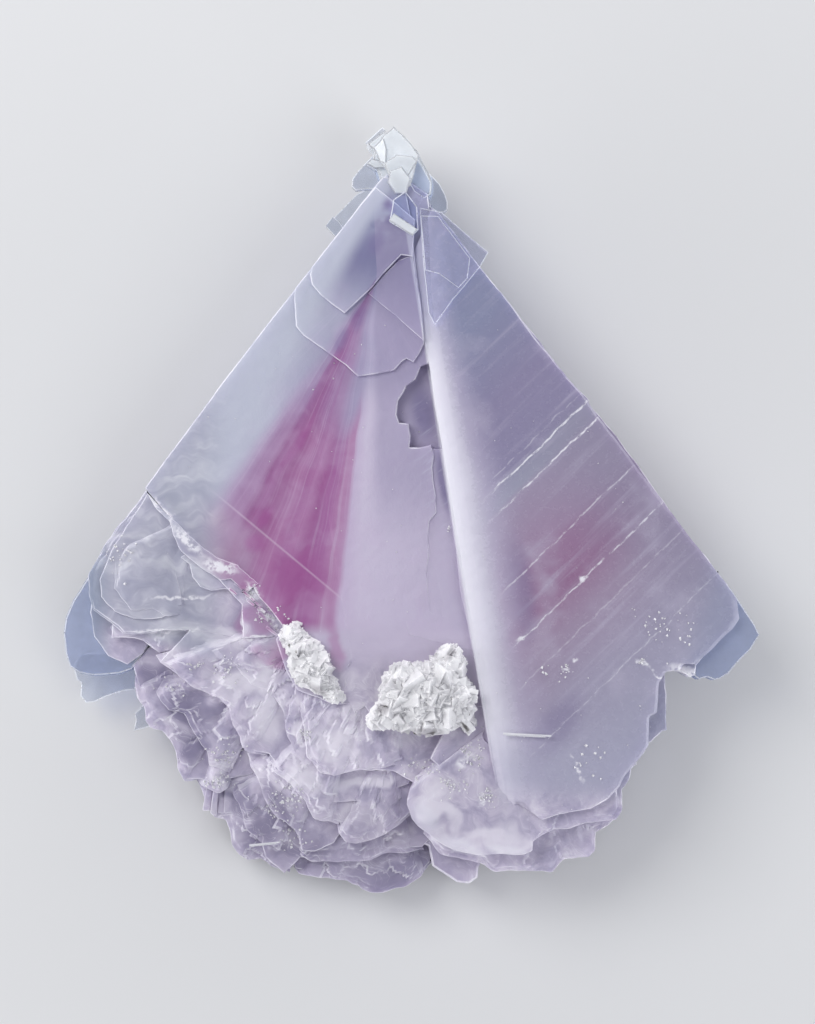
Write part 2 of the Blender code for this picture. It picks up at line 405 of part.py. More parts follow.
def small_tablets():
    """Small right-angled crystals along the crests of the lower shells and on the broken edge of the left wing.

    Each is listed as its middle, the height of its middle, its length, width and thickness, the direction of its
    length and how far it leans over that length, in degrees."""
    crystals = [
        (-27.2, -18.4, 7.3, 3.6, 2.2, 1.2, 62, 24), (-24.9, -20.3, 9.6, 3.2, 2.4, 1.1, 40, -20),
        (-22.3, -21.2, 9.8, 3.0, 2.0, 1.0, 15, 22), (-20.2, -23.6, 9.5, 3.4, 2.2, 1.1, 80, -18),
        (-19.4, -26.4, 9.0, 3.2, 2.0, 1.0, 66, 20), (-17.2, -28.2, 9.1, 3.4, 2.2, 1.2, 12, -24),
        (-17.9, -30.2, 8.1, 3.0, 2.0, 1.0, 74, 16), (-16.6, -33.0, 8.0, 3.4, 2.0, 1.1, 62, -20),
        (-14.6, -35.4, 7.9, 3.2, 2.2, 1.0, 28, 18), (-12.8, -37.6, 7.7, 3.2, 2.0, 1.1, 58, -16),
        (-13.8, -21.4, 10.7, 3.4, 1.8, 1.0, 84, 20), (-12.2, -25.6, 10.3, 3.6, 2.2, 1.2, 78, -22),
        (-11.2, -28.9, 10.8, 3.2, 2.0, 1.1, 52, 18), (-13.4, -31.6, 9.4, 3.6, 2.0, 1.2, 40, -20),
        (-11.4, -34.2, 9.2, 3.2, 2.0, 1.0, 50, 22), (-8.0, -35.9, 9.0, 3.4, 2.0, 1.1, 8, -18),
        (-7.0, -37.9, 8.2, 3.0, 2.0, 1.0, 20, 20), (-3.2, -37.3, 8.8, 3.6, 2.0, 1.1, -22, -16),
        (-23.2, -31.2, 7.4, 3.4, 1.4, 1.2, 70, 16), (-21.6, -31.8, 7.6, 3.2, 1.4, 1.2, 84, -14),
        (-22.6, -33.6, 6.4, 3.4, 1.4, 1.1, 78, 18), (-20.6, -35.6, 6.4, 3.4, 2.2, 1.2, 72, -20),
        (-18.6, -38.6, 6.0, 3.2, 2.2, 1.1, 30, 20), (-29.6, -19.8, 6.6, 3.6, 2.4, 1.2, 50, -18),
        (-29.0, -22.8, 6.6, 3.2, 2.2, 1.1, 74, 20), (-26.6, -25.4, 7.2, 3.2, 2.2, 1.1, 30, -18),
        (-25.8, -28.6, 6.8, 3.2, 2.0, 1.0, 76, 18), (-24.6, -23.4, 7.6, 3.0, 2.0, 1.1, 54, 22),
        (-22.4, -26.6, 7.6, 3.2, 2.2, 1.1, 60, -20), (-33.2, -14.2, 8.4, 3.2, 2.0, 1.0, 34, 18),
        (-29.8, -15.2, 8.5, 3.4, 2.0, 1.1, 12, -20), (-26.0, -14.6, 8.8, 3.4, 2.0, 1.0, -6, 22),
        (-25.2, -5.8, 9.6, 3.2, 1.6, 1.1, -46, -20), (-22.6, -8.2, 9.9, 3.2, 1.6, 1.0, -38, 18),
        (-19.6, -9.2, 10.6, 3.2, 1.6, 1.1, -50, -16), (-16.6, -11.8, 10.8, 3.2, 1.6, 1.0, -54, 18),
        (-9.2, -41.4, 5.6, 3.4, 2.0, 1.1, 10, 16), (-4.4, -41.9, 5.2, 3.4, 2.2, 1.1, -12, -16),
        (0.4, -41.6, 5.3, 3.2, 2.0, 1.1, -36, 18), (15.2, -39.9, 9.9, 3.4, 2.0, 1.1, 8, -16),
        (19.2, -37.6, 9.9, 3.2, 2.0, 1.1, 24, 18), (22.9, -33.0, 12.1, 3.4, 1.8, 1.0, 58, -16),
        (25.4, -29.4, 9.2, 3.0, 1.8, 1.0, 64, 18), (28.0, -22.8, 10.6, 3.4, 1.6, 1.0, 86, -14),
        (33.8, -17.2, 11.8, 3.4, 1.8, 1.0, 34, 16),
    ]
    made = []
    for i, (x, y, z, length, width, thick, turn, lean) in enumerate(crystals):
        bm = bmesh.new()
        box = bmesh.ops.create_cube(bm, size=1.0)["verts"]
        bmesh.ops.scale(bm, vec=Vector((length, width, thick + 2.4)), verts=box)
        bmesh.ops.translate(bm, vec=Vector((0.0, 0.0, -1.2)), verts=box)
        bmesh.ops.rotate(bm, matrix=Matrix.Rotation(math.radians(lean), 3, "X"), verts=box)
        bmesh.ops.rotate(bm, matrix=Matrix.Rotation(math.radians(turn), 3, "Z"), verts=box)
        bmesh.ops.translate(bm, vec=Vector((x, y, z)), verts=box)
        bmesh.ops.scale(bm, vec=Vector((SCALE, SCALE, SCALE)) * MM, verts=box)
        obj = object_of(f"tablet_{i + 1:02d}", bm, bpy.data.materials["anhydrite"])
        obj.hide_render = True
        obj.display_type = "WIRE"
        made.append(obj)
    return made


def back_scars():
    """Cutters for the stepped cleavage scars of the back, two shallow steps each."""
    wide = [(-20.0, 6.0), (-9.0, 19.0), (-2.0, 13.0), (-6.0, -4.0), (-15.0, -8.0)]
    deep = [(-16.0, 5.0), (-9.0, 13.0), (-5.0, 9.0), (-9.0, -1.0)]
    foot = [(4.0, -18.0), (15.0, -8.0), (21.0, -16.0), (12.0, -28.0), (5.0, -30.0)]
    return [
        plate("scar_wide", wide, -1.0, 0.5, chamfer=0.0),
        plate("scar_deep", deep, -1.0, 1.1, chamfer=0.0),
        plate("scar_foot", foot, -1.0, 0.7, chamfer=0.0),
    ]


def anhydrite_fan():
    """All the plates joined in one solid, with the scars taken out of its back."""
    plates = (
        left_blade() + right_blade() + apex_overgrowths() + tip_crystals() + right_wing()
        + lower_right_steps() + lower_left_shells() + left_wing() + broken_blocks() + small_tablets()
        + back_plates()
    )
    joined = bpy.data.collections.new("plates_to_join")
    cut = bpy.data.collections.new("scars_to_cut")
    for obj in plates[1:]:
        bpy.context.scene.collection.objects.unlink(obj)
        joined.objects.link(obj)
    for obj in back_scars():
        bpy.context.scene.collection.objects.unlink(obj)
        cut.objects.link(obj)
    for collection in (joined, cut):
        collection.hide_render = True
        bpy.context.scene.collection.children.link(collection)
    fan = bpy.data.objects.new("anhydrite_fan", plates[0].data.copy())
    joined.objects.link(plates[0])
    bpy.context.scene.collection.objects.unlink(plates[0])
    joined.objects.unlink(plates[0])
    bpy.data.objects.remove(plates[0])
    bpy.context.scene.collection.objects.link(fan)
    for name, operation, collection in (("join", "UNION", joined), ("scars", "DIFFERENCE", cut)):
        modifier = fan.modifiers.new(name, "BOOLEAN")
        modifier.operation = operation
        modifier.operand_type = "COLLECTION"
        modifier.collection = collection
        modifier.solver = "EXACT"
    return fan


def white_lump(name, grains, bars, seed):
    """A granular mass: faceted grains and short bars grown together, cut off flat just clear of the blade.

    A grain is listed as its middle, its radius and its height; a bar as its start, end, height and width."""
    rng = random.Random(seed)

    def foot_height(x):
        return LEFT_FACE + LEFT_TILT[0] * x + GAP

    pieces = bpy.data.collections.new(name + "_grains")
    pieces.hide_render = True
    bpy.context.scene.collection.children.link(pieces)

    def keep(label, bm):
        bmesh.ops.scale(bm, vec=Vector((SCALE, SCALE, SCALE)) * MM, verts=bm.verts)
        obj = object_of(label, bm, bpy.data.materials["white_granular"])
        obj.hide_render = True
        obj.display_type = "WIRE"
        bpy.context.scene.collection.objects.unlink(obj)
        pieces.objects.link(obj)
        return obj

    for i, (x, y, radius, height) in enumerate(grains):
        bm = bmesh.new()
        for _ in range(15):
            way = Vector((rng.gauss(0, 1), rng.gauss(0, 1), rng.gauss(0, 1))).normalized()
            bm.verts.new((x + way.x * radius, y + way.y * radius, foot_height(x) + (0.3 + 0.7 * way.z) * height))
        hull = bmesh.ops.convex_hull(bm, input=bm.verts[:])
        bmesh.ops.delete(bm, geom=hull["geom_interior"], context="VERTS")
        bmesh.ops.dissolve_limit(bm, angle_limit=math.radians(9), verts=bm.verts[:], edges=bm.edges[:])
        keep(f"{name}_grain_{i + 1:02d}", bm)
    for i, (start, end, height, width) in enumerate(bars):
        way = Vector((end[0] - start[0], end[1] - start[1], 0.0))
        bm = bmesh.new()
        box = bmesh.ops.create_cube(bm, size=1.0)["verts"]
        bmesh.ops.scale(bm, vec=Vector((way.length, width, width)), verts=box)
        bmesh.ops.rotate(bm, matrix=Matrix.Rotation(math.atan2(way.y, way.x), 3, "Z"), verts=box)
        middle = ((start[0] + end[0]) / 2, (start[1] + end[1]) / 2)
        bmesh.ops.translate(bm, vec=Vector((*middle, foot_height(middle[0]) + height)), verts=box)
        keep(f"{name}_bar_{i + 1}", bm)

    middle_x = sum(x for x, _, _, _ in grains) / len(grains)
    slab = bmesh.new()
    box = bmesh.ops.create_cube(slab, size=1.0)["verts"]
    bmesh.ops.scale(slab, vec=Vector((40.0, 40.0, 12.0)), verts=box)
    bmesh.ops.translate(slab, vec=Vector((0.0, 0.0, -6.0)), verts=box)
    bmesh.ops.rotate(slab, matrix=Matrix.Rotation(-math.atan(LEFT_TILT[0]), 3, "Y"), verts=box)
    middle_y = sum(y for _, y, _, _ in grains) / len(grains)
    bmesh.ops.translate(slab, vec=Vector((middle_x, middle_y, foot_height(middle_x))), verts=box)
    bmesh.ops.scale(slab, vec=Vector((SCALE, SCALE, SCALE)) * MM, verts=slab.verts)
    under = object_of(name + "_cut", slab, bpy.data.materials["white_granular"])
    under.hide_render = True
    under.display_type = "WIRE"

    first = pieces.objects[0]
    lump = bpy.data.objects.new(name, first.data.copy())
    bpy.data.objects.remove(first)
    bpy.context.scene.collection.objects.link(lump)
    join = lump.modifiers.new("join", "BOOLEAN")
    join.operation = "UNION"
    join.operand_type = "COLLECTION"
    join.collection = pieces
    join.solver = "EXACT"
    cut = lump.modifiers.new("foot", "BOOLEAN")
    cut.operation = "DIFFERENCE"
    cut.object = under
    cut.solver = "EXACT"
    return lump


def needle(name, start, end, width):
    """A slender six-sided crystal between two points, tapering to a blunt tip, lying just clear of its plate."""
    start, end = Vector(start), Vector(end)
    bm = bmesh.new()
    cone = bmesh.ops.create_cone(
        bm, cap_ends=True, segments=6, radius1=width / 2, radius2=width / 5, depth=(end - start).length
    )
    turn = (end - start).to_track_quat("Z", "Y").to_matrix()
    bmesh.ops.rotate(bm, verts=cone["verts"], matrix=turn)
    bmesh.ops.translate(bm, verts=cone["verts"], vec=(start + end) / 2)
    bmesh.ops.scale(bm, vec=Vector((SCALE, SCALE, SCALE)) * MM, verts=bm.verts)
    return object_of(name, bm, bpy.data.materials["silky_needle"])


def main():
    clear_scene()
    finish("anhydrite", ZONED, 0.18)
    finish("white_granular", CHALK_WHITE, 0.6)
    finish("silky_needle", SILKY_WHITE, 0.3)
    anhydrite_fan()
    white_lump(
        "white_lump_left",
        [(-13.0, -13.9, 1.5, 2.2), (-11.6, -14.6, 1.8, 2.9), (-12.6, -16.2, 1.6, 2.6), (-10.3, -16.4, 1.9, 3.2),
         (-11.6, -18.2, 1.5, 2.5), (-9.4, -18.6, 1.8, 2.9), (-8.3, -20.4, 1.3, 2.1), (-10.6, -19.3, 1.1, 1.9),
         (-13.7, -14.9, 1.0, 1.6)],
        [((-12.6, -13.6), (-10.4, -17.6), 2.1, 1.0)],
        3,
    )
    white_lump(
        "white_lump_right",
        [(-3.2, -19.8, 1.6, 2.4), (-1.4, -18.2, 1.6, 2.9), (0.6, -18.6, 2.0, 3.6), (2.8, -17.4, 1.8, 3.4),
         (4.6, -16.6, 1.8, 3.6), (-2.6, -22.2, 2.0, 3.0), (-0.2, -21.4, 2.2, 3.9), (2.4, -20.4, 2.3, 4.2),
         (5.0, -19.4, 1.8, 3.8), (0.8, -23.8, 1.7, 3.0), (3.2, -23.2, 1.9, 3.5), (5.4, -22.8, 1.8, 3.4),
         (6.2, -24.0, 1.3, 2.6), (-3.6, -23.4, 1.2, 2.0), (-1.6, -23.9, 1.2, 2.2)],
        [((3.0, -20.2), (7.7, -20.3), 2.6, 0.9), ((3.4, -21.6), (7.9, -21.4), 2.2, 1.0),
         ((-0.6, -18.4), (3.4, -16.4), 2.9, 1.2)],
        8,
    )
    needle("needle_right", (10.6, -25.0, 14.5), (16.1, -25.3, 14.75), 0.42)
    needle("needle_left", (-18.4, -38.3, 7.95), (-14.8, -37.9, 8.1), 0.36)


main()
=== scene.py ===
"""The looks of an anhydrite specimen: a fan of lavender blades, lying on its back on a pale floor.

Seen from above, +Y points to the tip and +X to the right. The outlines below are in millimetres."""

import bmesh
import bpy
import numpy as np
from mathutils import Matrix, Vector


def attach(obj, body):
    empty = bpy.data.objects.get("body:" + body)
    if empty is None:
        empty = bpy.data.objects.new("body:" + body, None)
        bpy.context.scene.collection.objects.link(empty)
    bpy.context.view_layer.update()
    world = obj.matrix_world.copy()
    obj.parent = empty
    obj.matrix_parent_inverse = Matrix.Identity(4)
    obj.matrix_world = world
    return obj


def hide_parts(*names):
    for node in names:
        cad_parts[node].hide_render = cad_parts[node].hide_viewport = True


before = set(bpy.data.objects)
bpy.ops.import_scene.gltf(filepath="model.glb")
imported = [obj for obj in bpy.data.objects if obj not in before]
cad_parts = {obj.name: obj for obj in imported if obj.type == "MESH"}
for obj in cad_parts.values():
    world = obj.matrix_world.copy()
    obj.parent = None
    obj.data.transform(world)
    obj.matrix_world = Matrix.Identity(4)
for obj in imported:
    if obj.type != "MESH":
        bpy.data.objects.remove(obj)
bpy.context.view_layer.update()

MM = 0.001
rng = np.random.default_rng(20)     # all the unevenness is drawn from this, in the order of the pieces


# The left blade is a thick tablet of anhydrite. Its long upper left edge is a straight crystal face, and its
# lower end and the side beside the ridge are broken into steps. It grew in layers, which show as ledges on
# its walls.
LEFT_FACE = 11.9
LEFT_TILT = (0.03, 0.0)


def along_path(corners, step):
    """Points every `step` mm along the straight runs of a closed path, each corner kept."""
    corners = np.asarray(corners, float)
    runs = []
    for start, end in zip(corners, np.roll(corners, -1, axis=0)):
        count = max(1, int(np.hypot(*(end - start)) / step + 0.5))
        runs.append(start + (end - start) * (np.arange(count) / count)[:, None])
    return np.vstack(runs)


def outward(path):
    """The outward normal at each point of a closed path, from the chord between its two neighbours."""
    chord = np.roll(path, -1, axis=0) - np.roll(path, 1, axis=0)
    normal = np.stack([chord[:, 1], -chord[:, 0]], axis=1)
    normal /= np.maximum(np.linalg.norm(normal, axis=1, keepdims=True), 1e-9)
    x, y = path.T
    turn = np.sum(x * np.roll(y, -1) - np.roll(x, -1) * y)
    return normal if turn > 0 else -normal


def ragged(count, step, sizes=((2.6, 1.0), (1.1, 0.6), (0.5, 0.35))):
    """Ups and downs round a closed path: random heights at a few spacings, joined by straight lines."""
    place = np.arange(count) * step
    total = np.zeros(count)
    for size, share in sizes:
        knots = max(3, int(count * step / size))
        heights = rng.uniform(-1.0, 1.0, knots)
        closed = np.append(heights, heights[0])
        total += share * np.interp(place / (count * step) * knots, np.arange(knots + 1), closed)
    return total


def tablet(outline, base, top, tilt=(0.0, 0.0), centre=(0.0, 0.0), jag=0.05, bevel=0.12, step=0.4,
           ledges=()):
    """A tabular crystal, as points and faces in mm: wall, ledges and bevel carried round the outline.

    Its top face is the plane through `top` at `centre`, rising by `tilt` for each mm along X and Y."""
    corners = np.asarray(outline, float)
    x, y = corners.T
    if np.sum(x * np.roll(y, -1) - np.roll(x, -1) * y) < 0:
        corners = corners[::-1]
    path = along_path(corners, step)
    normal = outward(path)
    path = path + normal * (jag * ragged(len(path), step))[:, None]
    normal = outward(path)
    rise = tilt[0] * (path[:, 0] - centre[0]) + tilt[1] * (path[:, 1] - centre[1])
    rings = [np.column_stack([path, np.full(len(path), base)])]
    for share, depth in ledges:
        level = base + share * (top - base) + rise * share
        rings.append(np.column_stack([path, level]))
        path = path - normal * depth
        rings.append(np.column_stack([path, level + 0.02]))
    rings.append(np.column_stack([path, top + rise - bevel]))
    inner = path - normal * bevel
    face_rise = tilt[0] * (inner[:, 0] - centre[0]) + tilt[1] * (inner[:, 1] - centre[1])
    rings.append(np.column_stack([inner, top + face_rise]))
    count = len(path)
    points = np.vstack(rings)
    here = np.arange(count)
    ahead = np.roll(here, -1)
    quads = np.vstack([
        np.column_stack([here, ahead, ahead + count, here + count]) + k * count
        for k in range(len(rings) - 1)
    ])
    faces = [*quads.tolist(), here[::-1].tolist(), (here + (len(rings) - 1) * count).tolist()]
    return points, faces


def mesh_object(name, points, faces):
    """Puts points in mm and their faces into an object at the origin, its faces all turned outwards."""
    mesh = bpy.data.meshes.new(name)
    mesh.from_pydata(np.asarray(points) * MM, [], faces)
    bm = bmesh.new()
    bm.from_mesh(mesh)
    bmesh.ops.recalc_face_normals(bm, faces=bm.faces)
    bm.to_mesh(mesh)
    bm.free()
    obj = bpy.data.objects.new(name, mesh)
    bpy.context.scene.collection.objects.link(obj)
    return obj


def grown_together(name, solids, sharp=18.0):
    """Unites closed solids two by two into one mesh, smooth but for edges sharper than `sharp` degrees."""
    parts = [mesh_object(f"{name}_{i}", *solid) for i, solid in enumerate(solids)]
    while len(parts) > 1:
        pairs = list(zip(parts[::2], parts[1::2]))
        for keep, add in pairs:
            join = keep.modifiers.new("join", "BOOLEAN")
            join.operation = "UNION"
            join.solver = "MANIFOLD"
            join.object = add
        graph = bpy.context.evaluated_depsgraph_get()
        for keep, add in pairs:
            merged = bpy.data.meshes.new_from_object(keep.evaluated_get(graph))
            keep.modifiers.clear()
            keep.data = merged
        for _, add in pairs:
            bpy.data.objects.remove(add, do_unlink=True)
        parts = [keep for keep, _ in pairs] + (parts[-1:] if len(parts) % 2 else [])
    whole = parts[0]
    whole.name = whole.data.name = name
    whole.data.polygons.foreach_set("use_smooth", [True] * len(whole.data.polygons))
    whole.data.set_sharp_from_angle(angle=np.radians(sharp))
    return whole


left_lower = [
    (0.8, 36.6), (-1.4, 37.9), (-3.1, 37.1), (-4.9, 34.8), (-11.7, 25.9), (-20.2, 15.0), (-29.5, 2.5),
    (-29.2, 1.4), (-28.4, 0.2), (-27.4, -0.9), (-26.8, -1.7), (-26.6, -3.0), (-26.0, -4.4), (-25.0, -5.1),
    (-23.8, -6.1), (-22.6, -6.8), (-21.6, -7.6), (-20.2, -7.4), (-18.2, -9.2), (-16.8, -10.4),
    (-15.3, -12.6), (-13.9, -14.9), (-11.4, -18.6), (-8.8, -21.8), (-6.1, -24.2), (-4.2, -25.6),
    (0.4, -26.4), (6.4, -25.8), (11.0, -25.0), (9.5, 0.0), (5.0, 20.0), (2.5, 35.0),
]
left_upper = [
    (0.4, 37.2), (-1.2, 38.2), (-2.6, 38.3), (-3.5, 37.2), (-5.3, 35.0), (-12.2, 26.3), (-20.7, 15.4),
    (-30.1, 2.7), (-29.0, 0.5), (-28.0, -0.2), (-26.8, -1.6), (-25.0, -2.9), (-23.5, -4.4), (-22.0, -5.5),
    (-20.6, -6.2), (-19.4, -6.7), (-18.8, -7.6), (-17.8, -8.6), (-17.2, -9.6), (-15.8, -11.2),
    (-14.2, -13.3), (-12.8, -15.0), (-11.2, -17.2), (-9.9, -18.6), (-8.3, -20.6), (-7.1, -21.4),
    (-6.2, -23.0), (-5.0, -22.2), (-3.8, -24.2), (-1.6, -24.6), (0.4, -25.0), (3.0, -24.6), (6.2, -24.4),
    (9.5, -24.0), (8.6, -17.0), (7.4, -12.6), (6.2, -12.2), (2.6, -11.4), (2.3, -9.0), (2.1, -7.0),
    (2.4, -5.0), (2.3, -2.8), (2.4, -1.2), (3.2, -0.2), (3.1, 1.8), (2.8, 3.6), (2.7, 5.0), (2.9, 6.4),
    (2.5, 7.6), (1.2, 7.3), (0.1, 7.3), (0.2, 8.6), (0.0, 10.0), (-1.1, 10.1), (-1.4, 11.0), (-1.2, 12.5),
    (-0.6, 13.4), (-0.2, 14.2), (0.8, 14.9), (1.4, 16.4), (3.4, 17.2), (4.0, 22.0), (2.2, 36.0),
]
left_base = [
    (-3.0, 36.0), (-5.1, 34.9), (-12.0, 26.1), (-20.5, 15.2), (-29.8, 2.8), (-29.4, 0.4), (-26.0, -6.0),
    (-20.0, -11.0), (-14.0, -17.0), (-4.0, -26.0), (8.0, -25.0), (6.0, 0.0), (3.0, 20.0), (2.0, 35.0),
]
left_blade = [
    tablet(left_base, 2.9, 7.6, jag=0.03, ledges=((0.35, 0.12), (0.7, 0.1))),
    tablet(left_lower, 7.0, 10.5, LEFT_TILT, jag=0.05, bevel=0.1, ledges=((0.3, 0.08),)),
    tablet([(1.6, 7.2), (-1.0, 7.4), (-3.0, 0.0), (0.0, -14.0), (8.0, -16.0), (6.6, -6.0), (4.4, 7.0)],
           9.6, LEFT_FACE - 0.01, (0.03, -0.018), (0.0, -11.6), jag=0.02, bevel=0.03),
    tablet([(-29.9, 2.5), (-28.7, 0.3), (-27.2, -1.2), (-26.9, -2.6), (-26.1, -4.3), (-25.0, -5.3),
            (-23.8, -6.4), (-22.6, -7.1), (-21.4, -7.7), (-20.2, -7.6), (-18.4, -9.2), (-17.0, -8.2),
            (-19.4, -6.0), (-21.9, -5.2), (-24.0, -3.4), (-25.6, -2.0), (-27.4, -0.2), (-29.3, 2.0)],
           8.0, LEFT_FACE - 0.75, (0.16, 0.2), (-24.9, -4.3), jag=0.12, bevel=0.08),
    tablet([(-22.4, -7.0), (-20.6, -9.0), (-19.1, -10.6), (-19.0, -14.5), (-15.4, -14.3), (-13.0, -13.0),
            (-17.0, -6.0)], 7.6, 10.85, (0.03, 0.03), (-18.0, -10.0), jag=0.12, bevel=0.1),
    tablet(left_upper, 9.0, LEFT_FACE, LEFT_TILT, jag=0.035, bevel=0.13, step=0.3, ledges=((0.55, 0.07),)),
]


# The right blade stands above the left one along a straight ridge. From the ridge its face rises over a
# rounded shoulder, then falls gently to the right. Growth steps cross it parallel to its cleavage.
RIGHT_FACE = 14.0
RIGHT_TILT = (-0.035, -0.03)
SHOULDER = ((0.0, 0.7, 1.6, 2.8, 4.2, 5.6), (1.25, 0.88, 0.55, 0.27, 0.08, 0.0))    # distance, drop
ACROSS_CLEAVAGE = (-0.696, 0.718)
RIDGE_RUN = (10.2, -62.3)     # from the upper end of the ridge to its lower end
ridge = [
    (0.3, 28.7), (0.5, 27.0), (1.1, 23.4), (1.7, 19.4), (2.4, 16.0), (2.9, 11.9), (3.7, 7.6), (4.5, 2.0),
    (4.95, -1.6), (5.35, -4.6), (5.8, -9.0), (6.6, -12.6), (7.5, -17.2), (8.2, -21.6), (9.0, -26.4),
    (9.8, -30.6), (10.5, -33.6),
]
right_rim = [
    (2.6, 34.4), (3.6, 33.5), (8.0, 27.7), (12.0, 22.7), (14.9, 18.8), (20.2, 12.4), (25.0, 6.0), (28.0, 2.0),
    (31.2, -2.2), (35.2, -7.4), (37.0, -9.9), (37.3, -12.1), (36.6, -13.2), (34.2, -15.6), (32.3, -17.3),
    (31.0, -17.2), (30.6, -17.9), (29.0, -18.0), (28.2, -19.3), (27.9, -22.7), (27.1, -23.1), (27.0, -26.3),
    (26.2, -27.6), (25.3, -28.6), (24.3, -29.9), (23.8, -31.0), (22.4, -32.4), (20.6, -33.6), (17.0, -34.2),
    (15.0, -34.8), (14.0, -34.0), (13.0, -32.8), (11.8, -33.2),
]


def even(line, count):
    """The line's points at `count` equal steps of its length."""
    line = np.asarray(line, float)
    length = np.append(0.0, np.cumsum(np.hypot(*np.diff(line, axis=0).T)))
    where = np.linspace(0.0, length[-1], count)
    return np.column_stack([np.interp(where, length, line[:, 0]), np.interp(where, length, line[:, 1])])


def uneven(x, y, size):
    """Smooth ups and downs from -1 to 1 over the plane: random heights on a square grid, eased between."""
    knots = 48
    heights = rng.uniform(-1.0, 1.0, (knots, knots))
    i, j = np.floor(x / size).astype(int), np.floor(y / size).astype(int)
    u, v = x / size - i, y / size - j
    u, v = u * u * (3 - 2 * u), v * v * (3 - 2 * v)
    i, j, next_i, next_j = i % knots, j % knots, (i + 1) % knots, (j + 1) % knots
    low = heights[i, j] * (1 - u) + heights[next_i, j] * u
    high = heights[i, next_j] * (1 - u) + heights[next_i, next_j] * u
    return low * (1 - v) + high * v


def cleavage_step(place, at, height):
    """A small step in height, 0.16 mm wide, where the distance across the cleavage passes `at`."""
    return height / (1.0 + np.exp(-(place - at) / 0.04))


def grid_faces(rows, columns):
    """The quads of a grid of points, and the points along its border in turn."""
    i, j = np.meshgrid(np.arange(rows - 1), np.arange(columns - 1), indexing="ij")
    a = (i * columns + j).ravel()
    quads = np.column_stack([a, a + 1, a + columns + 1, a + columns])
    edge = np.r_[
        np.arange(columns), np.arange(1, rows) * columns + columns - 1,
        (rows - 1) * columns + np.arange(columns - 2, -1, -1), np.arange(rows - 2, 0, -1) * columns,
    ]
    return quads, edge


def right_blade_solid(base=9.3, rows=260, columns=90):
    """The surface between the ridge and the rim: straight across one way, and along both lines the other.

    Its height is the tilted plane, less the shoulder's drop by distance from the ridge, plus the growth
    steps; the same grid laid flat at the base closes it underneath."""
    near, far = even(ridge, rows), even(right_rim, rows)
    both_ends_kept = np.r_[0.0, np.ones(rows - 2), 0.0]
    far = far + outward(far) * (0.06 * ragged(rows, 0.4) * both_ends_kept)[:, None]
    across = np.linspace(0.0, 1.0, columns)[None, :, None] ** 1.35
    flat = near[:, None] * (1.0 - across) + far[:, None] * across
    x, y = flat[..., 0], flat[..., 1]
    along = np.array(RIDGE_RUN) / np.hypot(*RIDGE_RUN)
    from_ridge = np.clip((x - ridge[0][0]) * -along[1] + (y - ridge[0][1]) * along[0], 0.0, 50.0)
    cleavage = ACROSS_CLEAVAGE[0] * x + ACROSS_CLEAVAGE[1] * y
    z = RIGHT_FACE + RIGHT_TILT[0] * x + RIGHT_TILT[1] * y - np.interp(from_ridge, *SHOULDER)
    fade = np.clip((from_ridge - 3.0) / 6.0, 0.0, 1.0)
    wander = cleavage + 0.12 * uneven(x, y, 2.2)
    z += fade * (cleavage_step(wander, -5.0, 0.1) - cleavage_step(wander, -7.2, 0.07))
    z += fade * (cleavage_step(wander, -19.2, 0.05) + cleavage_step(wander, -29.3, 0.06))
    z -= 0.85 * np.clip((-26.5 - y) / 7.5, 0.0, 1.0) ** 2
    z -= 0.7 * np.clip((-29.0 - y) / 4.0, 0.0, 1.0) * np.clip((15.0 - x) / 4.0, 0.0, 1.0)
    z[:, -1] -= 0.13
    top = np.column_stack([x.ravel(), y.ravel(), z.ravel()])
    count = rows * columns
    under = top.copy()
    under[:, 2] = base
    quads, edge = grid_faces(rows, columns)
    ahead = np.roll(edge, -1)
    walls = np.column_stack([edge, ahead, ahead + count, edge + count])
    faces = np.vstack([quads[:, ::-1], quads + count, walls])
    return np.vstack([top, under]), faces.tolist()


right_seam = [
    (1.0, 33.8), (3.0, 33.3), (7.6, 27.3), (14.4, 18.4), (19.7, 12.0), (27.5, 1.6), (34.7, -7.6),
    (36.6, -10.2), (36.3, -12.8), (32.0, -16.8), (28.0, -18.6), (26.6, -22.0), (26.4, -27.0), (23.0, -30.0),
    (20.0, -33.0), (12.0, -33.0), (6.0, -26.0), (4.0, 0.0), (0.0, 20.0),
]
right_blade = [
    right_blade_solid(),
    tablet(right_seam, 6.3, 10.4, jag=0.06, bevel=0.05, ledges=((0.4, 0.1),)),
]


